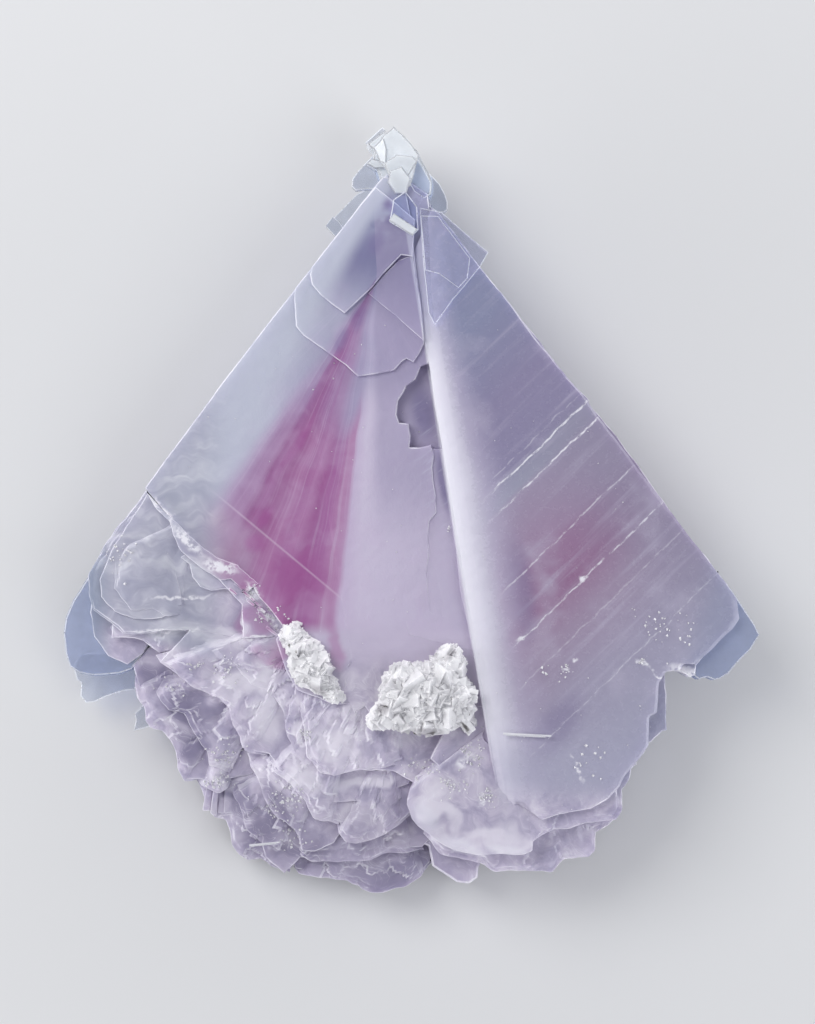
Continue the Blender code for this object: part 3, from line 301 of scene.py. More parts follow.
# Thin right-angled plates overgrew both blades below the tip. They are milky, under half a millimetre thick,
# and their broken lower edges catch the light.
apex_plates = [
    tablet([(-2.9, 37.9), (-3.7, 37.0), (-5.5, 34.8), (-12.9, 25.3), (-13.0, 24.3), (-12.8, 21.0),
            (-12.0, 20.0), (-8.4, 17.4), (-7.2, 16.6), (-5.8, 15.3), (-3.8, 15.6), (-1.7, 16.0),
            (-0.9, 16.9), (-0.3, 17.3), (0.5, 16.9), (1.1, 17.8), (1.7, 19.0), (1.5, 22.4), (0.6, 29.0),
            (0.2, 33.5), (-0.6, 37.4)],
           9.0, LEFT_FACE + 0.45, LEFT_TILT, jag=0.03, bevel=0.12),
    tablet([(-3.8, 36.7), (-5.5, 34.7), (-11.0, 27.7), (-11.2, 26.8), (-11.0, 25.7), (-10.0, 24.5),
            (-8.8, 23.5), (-7.3, 22.4), (-6.0, 23.6), (-4.2, 25.3), (-3.0, 26.8), (-0.9, 29.0), (0.4, 28.8),
            (0.7, 33.0), (-1.6, 35.0)],
           9.2, LEFT_FACE + 0.95, LEFT_TILT, jag=0.025, bevel=0.12),
    tablet([(-4.6, 24.7), (-3.0, 23.3), (-1.6, 22.2), (0.2, 20.6), (1.7, 19.3), (1.2, 24.0), (0.4, 29.0),
            (-1.2, 28.4), (-3.0, 26.6)], 9.4, LEFT_FACE + 0.68, LEFT_TILT, jag=0.02, bevel=0.08),
]


# The wings are plates that reach past the two blades, broken off short at their lower ends, with the
# outermost ones thin and clear.
wing_plates = [
    tablet([(24.0, 6.8), (30.8, -1.8), (33.7, -4.8), (36.3, -8.2), (37.0, -9.8), (37.3, -12.2),
            (36.9, -12.9), (34.6, -15.4), (32.7, -17.5), (32.6, -18.6), (31.8, -19.0), (31.0, -18.5),
            (30.2, -18.2), (29.1, -18.4), (25.0, -16.0), (16.0, -5.0)],
           5.6, 12.5, (-0.03, -0.01), (30.0, -10.0), jag=0.05, bevel=0.14, ledges=((0.4, 0.15), (0.75, 0.1))),
    tablet([(28.0, -3.0), (33.2, -4.8), (33.4, -7.0), (33.1, -8.6), (34.0, -11.0), (33.0, -14.0),
            (31.6, -16.6), (30.0, -17.0), (22.0, -12.0)],
           9.5, 12.85, (-0.03, -0.01), (30.0, -10.0), jag=0.05, bevel=0.1),
    tablet([(30.0, -3.0), (36.2, -10.2), (36.3, -12.8), (34.4, -14.8), (31.8, -17.4), (28.0, -17.6),
            (26.0, -14.0)],
           4.8, 8.9, centre=(34.0, -12.0), jag=0.08),
    tablet([(19.0, 13.7), (23.1, 9.3), (25.8, 5.5), (28.3, 1.9), (31.0, -1.8), (28.0, -1.0), (17.0, 12.0)],
           6.9, 11.9, jag=0.09, bevel=0.08, ledges=((0.6, 0.1),)),
    tablet([(10.6, 24.3), (14.2, 19.9), (18.6, 14.3), (20.4, 12.5), (16.0, 11.0), (8.0, 22.0)],
           8.9, 12.6, jag=0.1, bevel=0.08),
    tablet([(-29.9, 2.7), (-32.0, 0.0), (-35.0, -4.0), (-36.7, -7.2), (-36.6, -9.5), (-36.1, -11.2),
            (-35.0, -12.0), (-33.3, -13.2), (-32.6, -13.9), (-31.0, -14.0), (-28.0, -13.6), (-24.0, -13.7),
            (-19.6, -14.6), (-17.4, -14.2), (-13.0, -13.6), (-14.0, -6.0), (-22.0, 4.0), (-26.0, 5.0)],
           3.9, 9.2, (0.02, 0.0), (-28.0, -6.0), jag=0.09, bevel=0.14, ledges=((0.5, 0.12),)),
    tablet([(-29.8, 2.2), (-31.6, -0.6), (-34.0, -4.6), (-35.4, -7.8), (-35.2, -9.8), (-33.6, -11.4),
            (-31.4, -12.2), (-28.2, -12.2), (-25.8, -10.6), (-26.6, -7.0), (-27.4, -3.4), (-26.4, 3.0)],
           6.9, 9.65, (0.02, 0.0), (-28.0, -6.0), jag=0.1, bevel=0.1),
    tablet([(-26.0, -5.2), (-25.0, -6.0), (-24.6, -7.5), (-23.8, -8.5), (-22.5, -9.0), (-21.0, -8.8),
            (-18.0, -9.6), (-17.0, -6.0), (-22.0, -3.0)],
           6.5, 10.15, (0.02, 0.0), (-22.0, -6.0), jag=0.08, bevel=0.1),
    tablet([(-34.0, -14.4), (-31.5, -14.6), (-30.5, -14.9), (-29.6, -15.6), (-28.6, -16.2), (-27.6, -16.1),
            (-25.6, -15.4), (-22.4, -16.2), (-18.0, -17.0), (-15.0, -12.0), (-24.0, -6.0), (-34.0, -9.0)],
           3.0, 8.0, jag=0.1, bevel=0.12),
    tablet([(-34.2, -5.4), (-36.2, -8.9), (-36.7, -11.6), (-36.2, -14.4), (-34.6, -16.6), (-32.4, -17.6),
            (-30.6, -16.4), (-29.0, -13.0), (-28.0, -8.0), (-32.0, -3.0)],
           3.3, 6.6, (0.05, 0.0), (-34.0, -12.0), jag=0.08, bevel=0.12),
]


# The lower right rim steps down from the foot of the right blade in ragged plates. The front one has a
# thick, rounded, white edge that curves round from the ridge.
foot = [
    (0.1, -31.5), (-0.2, -33.0), (0.3, -34.7), (1.5, -36.0), (3.5, -37.5), (5.0, -38.4), (7.6, -38.7),
    (10.4, -38.8), (13.1, -38.9), (14.0, -38.4), (14.0, -37.3), (15.0, -36.6), (16.5, -36.1), (18.0, -36.0),
    (20.0, -35.2), (23.5, -35.0), (24.2, -34.0), (24.0, -31.3), (25.0, -30.5), (25.3, -28.8), (26.4, -27.6),
    (27.0, -27.0), (27.1, -22.0), (22.0, -14.0), (12.0, -16.0), (9.4, -26.5), (5.6, -26.6), (2.8, -28.9),
    (0.8, -29.8),
]
ledge = [
    (1.2, -35.2), (2.6, -37.1), (5.2, -38.9), (7.0, -39.6), (8.4, -40.4), (9.9, -41.2), (11.6, -40.9),
    (13.0, -41.1), (14.8, -41.0), (16.3, -41.2), (17.0, -40.2), (17.6, -39.6), (20.6, -39.3), (21.3, -38.9),
    (21.2, -37.8), (21.4, -36.6), (22.5, -35.8), (24.0, -34.6), (24.3, -33.0), (24.2, -31.4), (25.1, -29.8),
    (26.0, -28.8), (25.0, -22.0), (5.0, -24.0), (2.0, -30.0),
]
lower_right = [
    tablet([(5.4, -22.0), (9.2, -22.0), (12.0, -33.0), (9.4, -34.4), (5.0, -30.0), (2.4, -28.0)],
           8.0, 12.3, jag=0.08),
    tablet(foot, 4.1, 11.9, jag=0.09, bevel=0.16, ledges=((0.35, 0.12), (0.7, 0.1))),
    tablet(ledge, 2.7, 9.4, jag=0.12, bevel=0.14, ledges=((0.45, 0.14),)),
    tablet([(29.1, -18.2), (29.2, -20.0), (29.3, -22.0), (29.4, -24.9), (28.8, -25.0), (27.5, -26.2),
            (27.0, -26.3), (24.0, -26.0), (24.0, -17.0), (28.0, -17.0)],
           6.1, 10.9, (-0.1, 0.0), (27.0, -22.0), jag=0.1),
    tablet([(27.6, -26.0), (27.0, -27.1), (26.0, -28.0), (26.0, -29.0), (25.3, -29.0), (25.1, -29.9),
            (24.3, -31.2), (22.0, -30.0), (23.5, -25.0)], 4.4, 9.1, jag=0.1),
    tablet([(2.2, -38.6), (2.7, -40.8), (4.2, -41.9), (5.5, -42.7), (6.9, -42.9), (7.9, -42.2), (8.0, -40.9),
            (8.4, -40.2), (8.0, -36.0), (3.0, -34.0), (1.0, -38.0)],
           1.9, 6.3, (0.0, 0.05), (5.0, -41.0), jag=0.05, bevel=0.25),
]


# The lower rim is a cascade of thin scalloped shells. Each grew outwards from the middle of the fan as an
# uneven sheet, stepped near its ragged crest, and overlaps the one below it. Plain plates fill the space
# beneath them.
def sheet_solid(x, y, z, base):
    """A grid of heights closed into a solid by walls down from its border and a flat face at the base."""
    top = np.column_stack([x.ravel(), y.ravel(), z.ravel()])
    quads, edge = grid_faces(*x.shape)
    under = top[edge].copy()
    under[:, 2] = base
    low = len(top) + np.arange(len(edge))
    walls = np.column_stack([edge, low, np.roll(low, -1), np.roll(edge, -1)])
    return np.vstack([top, under]), [*quads.tolist(), *walls.tolist(), low[::-1].tolist()]


SHELL_GRID = 0.3
MIDDLE_X, MIDDLE_Y = -5.0, -14.0     # the lower shells spread out from here
FLAKE_COUNT = 1700
flake_random = np.random.default_rng(12)
flake_middle = np.c_[flake_random.uniform(0.0, 19.0, FLAKE_COUNT),
                     flake_random.uniform(-57.0, 57.0, FLAKE_COUNT)]
flake_lift = flake_random.uniform(-0.06, 0.06, FLAKE_COUNT)
flake_lean = flake_random.uniform((0.02, -0.12), (0.2, 0.12), (FLAKE_COUNT, 2))


def flaky(x, y):
    """A relief of small flat flakes round the middle of the fan, about 2 mm long and 1 mm wide.

    The place is counted in flakes, as half the distance from the middle and 18 times the angle round it.
    Every point belongs to the flake whose middle is nearest, which has a height and a lean of its own:
    most rise outwards, so that each ends in a small scarp, like shingles."""
    x_out, y_out = x - MIDDLE_X, y - MIDDLE_Y
    away = np.stack([0.5 * np.hypot(x_out, y_out) + 0.3 * uneven(x, y, 0.8),
                     18.0 * np.arctan2(x_out, -y_out) + 0.3 * uneven(y, x, 0.8)], axis=-1)
    off = away[..., None, :] - flake_middle
    mine = np.argmin(np.sum(off ** 2, axis=-1), axis=-1)
    off = np.take_along_axis(off, mine[..., None, None], axis=-2)[..., 0, :]
    return flake_lift[mine] + np.sum(off * flake_lean[mine], axis=-1)


TERRACE_DROP, TERRACE_WIDTH = 0.17, 0.75


def shell(crest, root, base, top, rise=0.06, inner=0.4, jag=0.2, terraces=1, wave=0.2, flakes=1.5):
    """One scalloped sheet: straight lines from the root to each point of the crest, seen as a grid.

    Its height climbs inwards by `rise` for each mm, waves gently, is broken into flakes, drops in wandering
    terraces near the crest, and sinks away at both ends of the crest."""
    length = np.sum(np.hypot(*np.diff(np.asarray(crest, float), axis=0).T))
    count = int(length / SHELL_GRID)
    line = even(crest, count)
    away = line - np.asarray(root, float)
    size = np.hypot(*away.T)
    wobble = jag * ragged(count, SHELL_GRID, ((3.0, 1.0), (1.3, 0.7), (0.7, 0.5)))
    line = line + away / size[:, None] * wobble[:, None]
    away = line - np.asarray(root, float)
    size = np.hypot(*away.T)[:, None]
    near = np.r_[0.0, 0.07, np.linspace(0.2, TERRACE_WIDTH * (terraces + 1), 7 * terraces + 2)]
    depth = np.minimum(np.r_[near, near[-1] + np.geomspace(0.3, 9.0, 14)][None, :], size * (1.0 - inner))
    far = np.linspace(0.0, 1.0, depth.shape[1])[None, :] ** 3
    depth = depth * (1.0 - far) + size * (1.0 - inner) * far
    flat = line[:, None] - (away / size)[:, None] * depth[..., None]
    x, y = flat[..., 0], flat[..., 1]
    z = top + rise * depth + wave * uneven(x, y, 4.4) + 0.6 * wave * uneven(x, y, 1.9)
    z += 0.3 * wave * uneven(x, y, 0.8)
    z += 0.05 * ragged(count, SHELL_GRID, ((1.6, 1.0), (0.8, 0.6)))[:, None] * np.exp(-depth / 2.5)
    z += flakes * flaky(x, y)
    for k in range(terraces):
        wander = ragged(count, SHELL_GRID, ((3.6, 1.0), (1.5, 0.6), (0.8, 0.3)))[:, None]
        edge = TERRACE_WIDTH * (k + 0.9) + 0.3 * wander
        step = TERRACE_DROP * np.clip(0.55 + 0.6 * ragged(count, SHELL_GRID, ((6.0, 1.0),)), 0.0, 1.3)
        z -= step[:, None] / (1.0 + np.exp((depth - edge) / 0.06))
    z[:, 0] -= 0.03 + 0.1 * np.clip(0.5 + ragged(count, SHELL_GRID, ((4.0, 1.0),)), 0.0, 1.0)
    along = np.linspace(0.0, length, count)
    z -= 1.2 * np.exp(-(np.minimum(along, length - along) / 1.5) ** 2)[:, None]
    return sheet_solid(x, y, z, base)


under_shells = [
    tablet([(-12.0, -24.6), (-11.6, -28.0), (-9.8, -29.4), (-6.5, -29.2), (-1.8, -29.6), (2.0, -31.5),
            (5.6, -29.6), (8.6, -24.6), (5.0, -20.0), (-6.0, -19.0), (-11.0, -19.6)], 6.9, 10.6, jag=0.1),
    tablet([(-15.0, -29.5), (-12.9, -31.6), (-10.8, -34.5), (-8.0, -35.5), (-7.0, -37.4), (-4.0, -37.1),
            (-1.0, -35.4), (3.0, -32.0), (2.0, -26.0), (-8.0, -24.0), (-15.0, -26.0)], 4.6, 8.7, jag=0.1),
    tablet([(-16.6, -39.7), (-14.3, -41.6), (-12.5, -39.8), (-8.0, -40.1), (-3.0, -39.2), (1.5, -38.6),
            (5.0, -35.0), (0.0, -30.0), (-12.0, -30.0), (-17.4, -35.6)], 2.9, 6.6, jag=0.1),
    tablet([(-13.2, -41.4), (-9.8, -42.2), (-7.0, -42.5), (-4.5, -43.7), (-1.6, -43.4), (1.1, -42.0),
            (2.5, -40.7), (4.0, -37.0), (0.0, -32.0), (-12.0, -33.0), (-16.0, -37.0)],
           1.6, 4.8, jag=0.1, ledges=((0.5, 0.12),)),
    tablet([(-28.4, -17.2), (-26.0, -18.9), (-23.8, -20.3), (-21.4, -21.0), (-20.0, -23.2), (-19.0, -27.0),
            (-16.0, -27.7), (-14.2, -30.2), (-11.2, -33.4), (-5.0, -33.0), (0.0, -31.0), (1.0, -24.0),
            (-8.0, -17.0), (-13.0, -12.0), (-20.0, -9.5), (-23.6, -12.0), (-26.4, -15.0)],
           4.6, 9.2, jag=0.1),
    tablet([(-18.4, -27.8), (-17.6, -30.4), (-15.0, -34.6), (-12.8, -36.8), (-12.2, -38.8), (-10.8, -39.0),
            (-8.6, -38.0), (-6.0, -34.0), (-8.0, -28.0), (-16.0, -24.0)], 4.6, 7.8, jag=0.1),
    tablet([(-31.3, -20.0), (-31.0, -21.5), (-30.0, -24.8), (-28.3, -25.2), (-26.7, -27.8), (-26.3, -29.6),
            (-25.6, -30.8), (-22.0, -31.2), (-18.0, -30.5), (-15.0, -26.0), (-17.0, -16.0), (-24.0, -13.5),
            (-30.0, -15.5), (-31.8, -17.6)], 3.4, 6.4, jag=0.1, ledges=((0.5, 0.12),)),
    tablet([(-24.3, -30.6), (-23.0, -34.2), (-20.9, -35.4), (-20.2, -38.3), (-18.5, -40.1), (-17.0, -39.8),
            (-15.9, -40.9), (-13.8, -41.4), (-11.0, -38.0), (-13.0, -30.0), (-20.0, -26.5)],
           2.3, 5.2, jag=0.1, ledges=((0.5, 0.12),)),
    tablet([(-15.0, -14.5), (-13.6, -12.4), (-7.0, -18.2), (-6.8, -21.8), (-9.0, -21.8), (-12.6, -20.2),
            (-14.0, -18.0)], 8.0, LEFT_FACE - 0.05, LEFT_TILT, jag=0.12),
]
shells = [
    # round the middle, from the highest outwards
    shell([(-12.4, -19.6), (-12.3, -22.4), (-12.1, -24.5), (-11.9, -26.6), (-11.2, -28.4), (-10.0, -29.7),
           (-8.5, -30.1), (-6.5, -29.6), (-4.0, -29.3), (-1.8, -29.0), (0.8, -28.8)],
          (-2.0, -12.0), 6.9, 10.9, rise=0.07, inner=0.45, terraces=1),
    shell([(-20.6, -14.6), (-20.0, -17.4), (-17.9, -19.4), (-15.8, -20.4), (-14.3, -22.6), (-13.9, -25.4),
           (-12.9, -27.6), (-11.0, -28.6)], (-8.0, -10.0), 7.0, 10.3, rise=0.06),
    shell([(-15.9, -27.9), (-15.3, -29.5), (-13.5, -31.0), (-11.9, -33.0), (-10.9, -34.9), (-9.3, -35.3),
           (-8.0, -35.6)], (-5.0, -17.0), 4.8, 9.9, rise=0.03, terraces=2),
    shell([(-8.3, -35.2), (-8.0, -36.8), (-7.2, -37.8), (-6.0, -38.0), (-4.0, -37.5), (-2.5, -36.8),
           (-1.0, -35.7), (0.2, -34.7)], (-2.0, -24.0), 4.7, 9.2, rise=0.05, terraces=1, jag=0.07),
    shell([(-13.2, -37.8), (-12.5, -39.5), (-11.0, -40.2), (-8.0, -40.4), (-5.0, -40.0), (-3.0, -39.4),
           (-0.6, -39.3), (1.7, -38.9)], (-4.0, -22.0), 3.0, 7.2, rise=0.04, terraces=2),
    shell([(-13.4, -41.2), (-12.8, -42.0), (-9.8, -42.45), (-7.0, -42.75), (-5.5, -43.4), (-4.5, -43.95),
           (-3.0, -43.95), (-0.5, -43.35), (1.3, -42.2), (2.7, -40.8)],
          (-4.0, -30.0), 1.7, 5.5, rise=0.05, terraces=2),
    # the left flank
    shell([(-28.9, -16.4), (-28.5, -17.3), (-27.5, -17.5), (-26.3, -18.9), (-24.8, -20.2), (-23.8, -20.6),
           (-21.6, -21.2), (-20.5, -22.3), (-20.0, -24.5), (-19.2, -26.0), (-18.8, -27.5), (-18.0, -27.9),
           (-16.2, -27.9)], (-11.0, -11.0), 4.7, 9.7, rise=0.06, jag=0.17),
    shell([(-18.5, -27.6), (-18.1, -29.5), (-17.4, -30.7), (-16.3, -33.0), (-15.3, -34.8), (-14.0, -35.5),
           (-13.0, -36.6), (-12.0, -38.7)], (-8.0, -22.0), 4.8, 8.5, rise=0.05, jag=0.17),
    shell([(-28.0, -18.4), (-28.9, -20.8), (-27.6, -22.8), (-25.8, -23.2), (-24.8, -25.6), (-23.2, -27.4),
           (-22.8, -29.2), (-20.6, -30.0)], (-14.0, -17.0), 4.0, 8.0, rise=0.04, jag=0.17),
    shell([(-31.7, -18.4), (-31.5, -20.2), (-31.2, -21.5), (-30.5, -22.6), (-30.3, -24.2), (-29.9, -25.0),
           (-28.5, -25.4), (-27.4, -26.4), (-26.9, -27.7), (-26.7, -29.5), (-25.8, -31.0), (-24.2, -31.0)],
          (-17.0, -16.0), 3.5, 6.9, rise=0.08, jag=0.15),
    shell([(-20.8, -31.0), (-20.0, -33.2), (-19.2, -34.8), (-18.6, -36.6), (-17.2, -38.0), (-15.4, -38.8),
           (-13.6, -40.2)], (-10.0, -26.0), 3.0, 7.0, rise=0.06, jag=0.17),
    shell([(-24.6, -30.8), (-23.9, -32.4), (-23.3, -34.2), (-22.5, -35.2), (-21.1, -35.5), (-20.7, -36.6),
           (-20.4, -38.4), (-19.6, -39.6), (-18.5, -40.3), (-17.0, -40.0), (-16.0, -41.0), (-15.2, -41.2),
           (-13.8, -41.7)], (-13.0, -27.0), 2.4, 5.7, rise=0.08, jag=0.14),
    # the left wing
    shell([(-30.8, 1.4), (-33.4, -1.8), (-35.0, -4.2), (-36.6, -7.2), (-36.6, -9.5), (-36.1, -11.2),
           (-35.0, -12.0), (-33.3, -13.2), (-32.6, -13.9), (-31.0, -14.0), (-28.0, -13.6), (-24.0, -13.6),
           (-20.0, -14.4)],
          (-22.0, 2.0), 3.9, 9.1, rise=0.03, inner=0.3, jag=0.12, flakes=0.3),
    shell([(-32.0, -2.6), (-33.6, -5.8), (-33.8, -9.0), (-31.6, -11.2), (-29.2, -11.0), (-27.4, -12.0),
           (-24.6, -11.6)], (-24.0, 0.0), 6.0, 9.75, rise=0.0, inner=0.3, jag=0.2, flakes=0.3),
    shell([(-34.3, -13.2), (-33.9, -14.4), (-31.5, -14.4), (-30.5, -14.8), (-29.6, -15.6), (-28.6, -16.2),
           (-27.6, -16.1), (-25.8, -15.7), (-22.6, -16.5)],
          (-24.0, -4.0), 3.4, 8.2, rise=0.04, jag=0.15, flakes=0.5),
    # the lower right
    shell([(1.4, -29.6), (0.1, -31.5), (-0.2, -33.0), (0.3, -34.7), (1.5, -36.0), (3.5, -37.5), (5.0, -38.3),
           (8.0, -38.8), (13.1, -38.9), (14.0, -38.3), (14.0, -37.3), (15.0, -36.6), (16.5, -36.0),
           (18.0, -36.0), (20.0, -35.2), (23.5, -35.0), (24.2, -33.8), (24.0, -31.4), (25.0, -30.4),
           (25.3, -28.8), (26.8, -27.2)],
          (12.0, -22.0), 4.2, 12.5, rise=0.02, inner=0.3, jag=0.1, wave=0.1, flakes=0.35),
    shell([(1.6, -36.8), (3.6, -38.9), (6.0, -39.6), (8.4, -40.3), (9.9, -41.1), (13.0, -41.0),
           (16.3, -41.1), (17.0, -40.2), (17.6, -39.6), (20.6, -39.3), (21.2, -38.6), (21.3, -36.6),
           (22.5, -35.8), (24.0, -34.5), (24.3, -33.0), (24.2, -31.4), (25.1, -29.8), (26.0, -28.8)],
          (12.0, -24.0), 2.8, 10.1, rise=0.03, jag=0.15, flakes=0.7),
]


BLADELET_DEPTH = 1.7


def bladelet(end, root, top, length, width, slope, roll):
    """A small tablet that points from the root and stops at `end`: right-angled, with one corner broken off.

    `slope` lowers its outer end and `roll` turns it about its length, both in mm for each mm."""
    end, root = np.asarray(end, float), np.asarray(root, float)
    way = (end - root) / np.hypot(*(end - root))
    side = np.array([-way[1], way[0]])
    half = width / 2
    nick = rng.uniform(0.15, 0.5, 2) * width * rng.permutation([1.0, 0.35])
    corners = [
        (-length, -half * 0.7), (-nick[0], -half), (rng.uniform(-0.1, 0.1), -half + nick[0]),
        (rng.uniform(-0.15, 0.1), half - nick[1]), (-nick[1], half), (-length, half * 0.7),
    ]
    outline = [end + way * u + side * v for u, v in corners]
    tilt = -slope * way + roll * side
    return tablet(outline, top - BLADELET_DEPTH - slope * 0.5, top, tuple(tilt), tuple(end),
                  jag=0.025, bevel=0.07, step=0.6)


def bladelets(line, root, top, spacing, width, length, spread):
    """Small tablets along a line, all pointing from the root, and up to half of `spread` off the line."""
    line = np.asarray(line, float)
    count = max(3, int(np.sum(np.hypot(*np.diff(line, axis=0).T)) / spacing))
    made = []
    for end in even(line, count):
        end = end + rng.uniform(-spread, spread, 2) * 0.5
        height = top + rng.uniform(-0.25, 0.25)
        made.append(bladelet(end, root, height, rng.uniform(*length), rng.uniform(*width),
                             rng.uniform(-0.05, 0.3), rng.uniform(-0.35, 0.35)))
    return made


stubby_crystals = [
    shell([(-24.5, -30.8), (-24.0, -31.5), (-23.0, -31.9), (-21.8, -32.3), (-20.8, -31.6), (-20.2, -30.5)],
          (-21.5, -25.0), 4.2, 7.0, rise=0.1, jag=0.14),
    *bladelets([(-23.4, -34.6), (-22.4, -35.0), (-20.8, -34.8)], (-21.0, -18.0), 6.0, spacing=0.6,
               width=(0.7, 1.1), length=(3.2, 4.4), spread=0.15),
    *bladelets([(-20.4, -8.4), (-19.0, -9.4), (-17.4, -11.4), (-15.6, -13.2)], (60.0, -72.0), 11.0,
               spacing=0.5, width=(0.2, 0.5), length=(0.7, 1.8), spread=1.2),
]


def turned_over(solid):
    """A solid laid on its face: its heights counted downwards."""
    points, faces = solid
    return np.column_stack([points[:, :2], -points[:, 2]]), faces


back_plates = [
    tablet([(-3.5, 33.0), (-17.0, 15.0), (-27.0, 1.5), (-30.5, -7.5), (-25.5, -19.5), (-18.5, -31.0),
            (-9.0, -36.5), (5.0, -37.0), (16.5, -33.0), (23.5, -23.0), (25.5, -12.5), (30.5, -6.0),
            (18.0, 10.5), (6.5, 25.5), (2.0, 33.0)], 0.6, 5.2, jag=0.15, ledges=((0.2, 0.15),)),
    tablet([(-4.2, 34.6), (-12.0, 25.2), (-21.0, 13.6), (-29.3, 2.4), (-34.0, -4.6), (-35.0, -9.5),
            (-31.0, -17.0), (-26.5, -24.5), (-22.0, -32.0), (-15.0, -37.8), (-6.0, -39.5), (-2.0, -30.0),
            (0.0, 0.0), (1.0, 34.0)],
           0.9, 3.4, jag=0.15),
    tablet([(0.0, 34.0), (2.8, 33.4), (9.0, 25.2), (19.0, 12.0), (29.6, -1.6), (36.5, -10.6), (34.4, -15.8),
            (29.0, -15.6), (27.2, -21.5), (24.4, -28.0), (19.5, -34.6), (12.0, -38.6), (3.0, -38.4),
            (-1.0, -20.0)],
           1.3, 6.9, jag=0.15, ledges=((0.5, 0.2),)),
    *(turned_over(tablet(outline, -3.0, -low, jag=0.16, bevel=0.12, step=0.5)) for low, outline in (
        (0.0, [(-9.0, 22.0), (-20.0, 7.0), (-24.0, -3.0), (-15.0, -9.0), (-6.0, -4.0), (1.0, 8.0),
               (-1.0, 20.0)]),
        (0.02, [(4.0, 17.0), (12.0, 9.0), (19.0, -2.0), (21.0, -13.0), (12.0, -17.0), (5.0, -11.0),
                (2.0, 2.0)]),
        (0.01, [(-17.0, -13.0), (-4.0, -15.0), (7.0, -19.0), (9.0, -29.0), (-2.0, -34.0), (-13.0, -31.0)]),
        (0.22, [(-5.0, 29.0), (-15.0, 15.0), (-26.0, 0.0), (-27.0, -9.0), (-14.0, -14.0), (0.0, -8.0),
                (3.0, 14.0)]),
        (0.27, [(2.0, 26.0), (15.0, 10.0), (26.0, -5.0), (23.0, -16.0), (9.0, -20.0), (-3.0, -12.0),
                (0.0, 8.0)]),
        (0.42, [(-20.0, -12.0), (-6.0, -12.0), (9.0, -16.0), (18.0, -22.0), (12.0, -32.0), (-4.0, -36.0),
                (-16.0, -33.0), (-23.0, -20.0)]),
        (0.5, [(-12.0, 10.0), (-27.5, 0.0), (-28.5, -9.0), (-22.0, -16.0), (-8.0, -18.0), (4.0, -6.0)]),
    )),
]

fan = grown_together(
    "crystal_fan", left_blade + right_blade + apex_plates + wing_plates + lower_right + under_shells + shells
    + stubby_crystals + back_plates
)


def linear(red, green, blue):
    """A colour given as 0 to 255 screen values, as the linear one that shaders take."""
    return (*(((c / 255 + 0.055) / 1.055) ** 2.4 if c > 10 else c / 3294.6 for c in (red, green, blue)), 1.0)


def add_node(tree, kind, settings=(), **sockets):
    """A node with its settings, each named socket given a value or linked to another node's output."""
    made = tree.nodes.new(kind)
    for key, value in dict(settings).items():
        setattr(made, key, value)
    for key, value in sockets.items():
        socket = made.inputs[int(key[1:])] if key[1:].isdigit() else made.inputs[key.replace("_", " ")]
        if isinstance(value, bpy.types.NodeSocket):
            tree.links.new(value, socket)
        else:
            socket.default_value = value
    return made


def reckon(tree, operation, a, b=0.0, c=0.0):
    """One sum of numbers, as a Math node's output."""
    return add_node(tree, "ShaderNodeMath", {"operation": operation}, _0=a, _1=b, _2=c).outputs[0]


def times(tree, a, b):
    """The product of two numbers."""
    return reckon(tree, "MULTIPLY", a, b)


def plus(tree, a, b):
    """The sum of two numbers."""
    return reckon(tree, "ADD", a, b)


def minus(tree, a, b):
    """The first number less the second."""
    return reckon(tree, "SUBTRACT", a, b)


def larger(tree, a, b):
    """The larger of two numbers."""
    return reckon(tree, "MAXIMUM", a, b)


def fade(tree, value, start, end):
    """0 where the value is at start, 1 at end, and a smooth step between."""
    return add_node(tree, "ShaderNodeMapRange", {"interpolation_type": "SMOOTHSTEP"},
                    Value=value, From_Min=start, From_Max=end).outputs[0]


def blend(tree, share, a, b, mode="MIX"):
    """Colour b over colour a by its share."""
    mix = tree.nodes.new("ShaderNodeMix")
    mix.data_type, mix.blend_type = "RGBA", mode
    for socket, value in zip((mix.inputs[0], mix.inputs[6], mix.inputs[7]), (share, a, b)):
        if isinstance(value, bpy.types.NodeSocket):
            tree.links.new(value, socket)
        else:
            socket.default_value = value
    return mix.outputs[2]


def tinted(tree, under, mask, strength, screen_colour):
    """The colour `under` with another, in screen values, laid over it by `strength` times the mask."""
    return blend(tree, times(tree, mask, strength), under, linear(*screen_colour))


def mapped(tree, value, start, end, low=0.0, high=1.0):
    """The value carried evenly from the range start to end over to the range low to high."""
    return add_node(tree, "ShaderNodeMapRange", Value=value, From_Min=start, From_Max=end, To_Min=low,
                    To_Max=high).outputs[0]


def ramp(tree, value, low, high, stops):
    """A colour that runs through the stops as the value goes from low to high. A stop is the value and
    the colour there in screen values."""
    made = add_node(tree, "ShaderNodeValToRGB", Fac=mapped(tree, value, low, high))
    points = made.color_ramp.elements
    for place, *_ in stops[2:]:
        points.new((place - low) / (high - low))
    for point, (place, *screen_colour) in zip(points, stops):
        point.position, point.color = (place - low) / (high - low), linear(*screen_colour)
    return made.outputs[0]


def noise(tree, vector, scale, detail=3.0, rough=0.55):
    """A cloudy pattern around 0.5, with about `scale` patches to each unit of the vector."""
    return add_node(tree, "ShaderNodeTexNoise", Vector=vector, Scale=scale, Detail=detail,
                    Roughness=rough).outputs[0]


def join_axes(tree, x, y):
    """A flat vector from its two parts."""
    return add_node(tree, "ShaderNodeCombineXYZ", X=x, Y=y).outputs[0]


def split_axes(tree, vector):
    """The three parts of a vector."""
    return add_node(tree, "ShaderNodeSeparateXYZ", Vector=vector).outputs


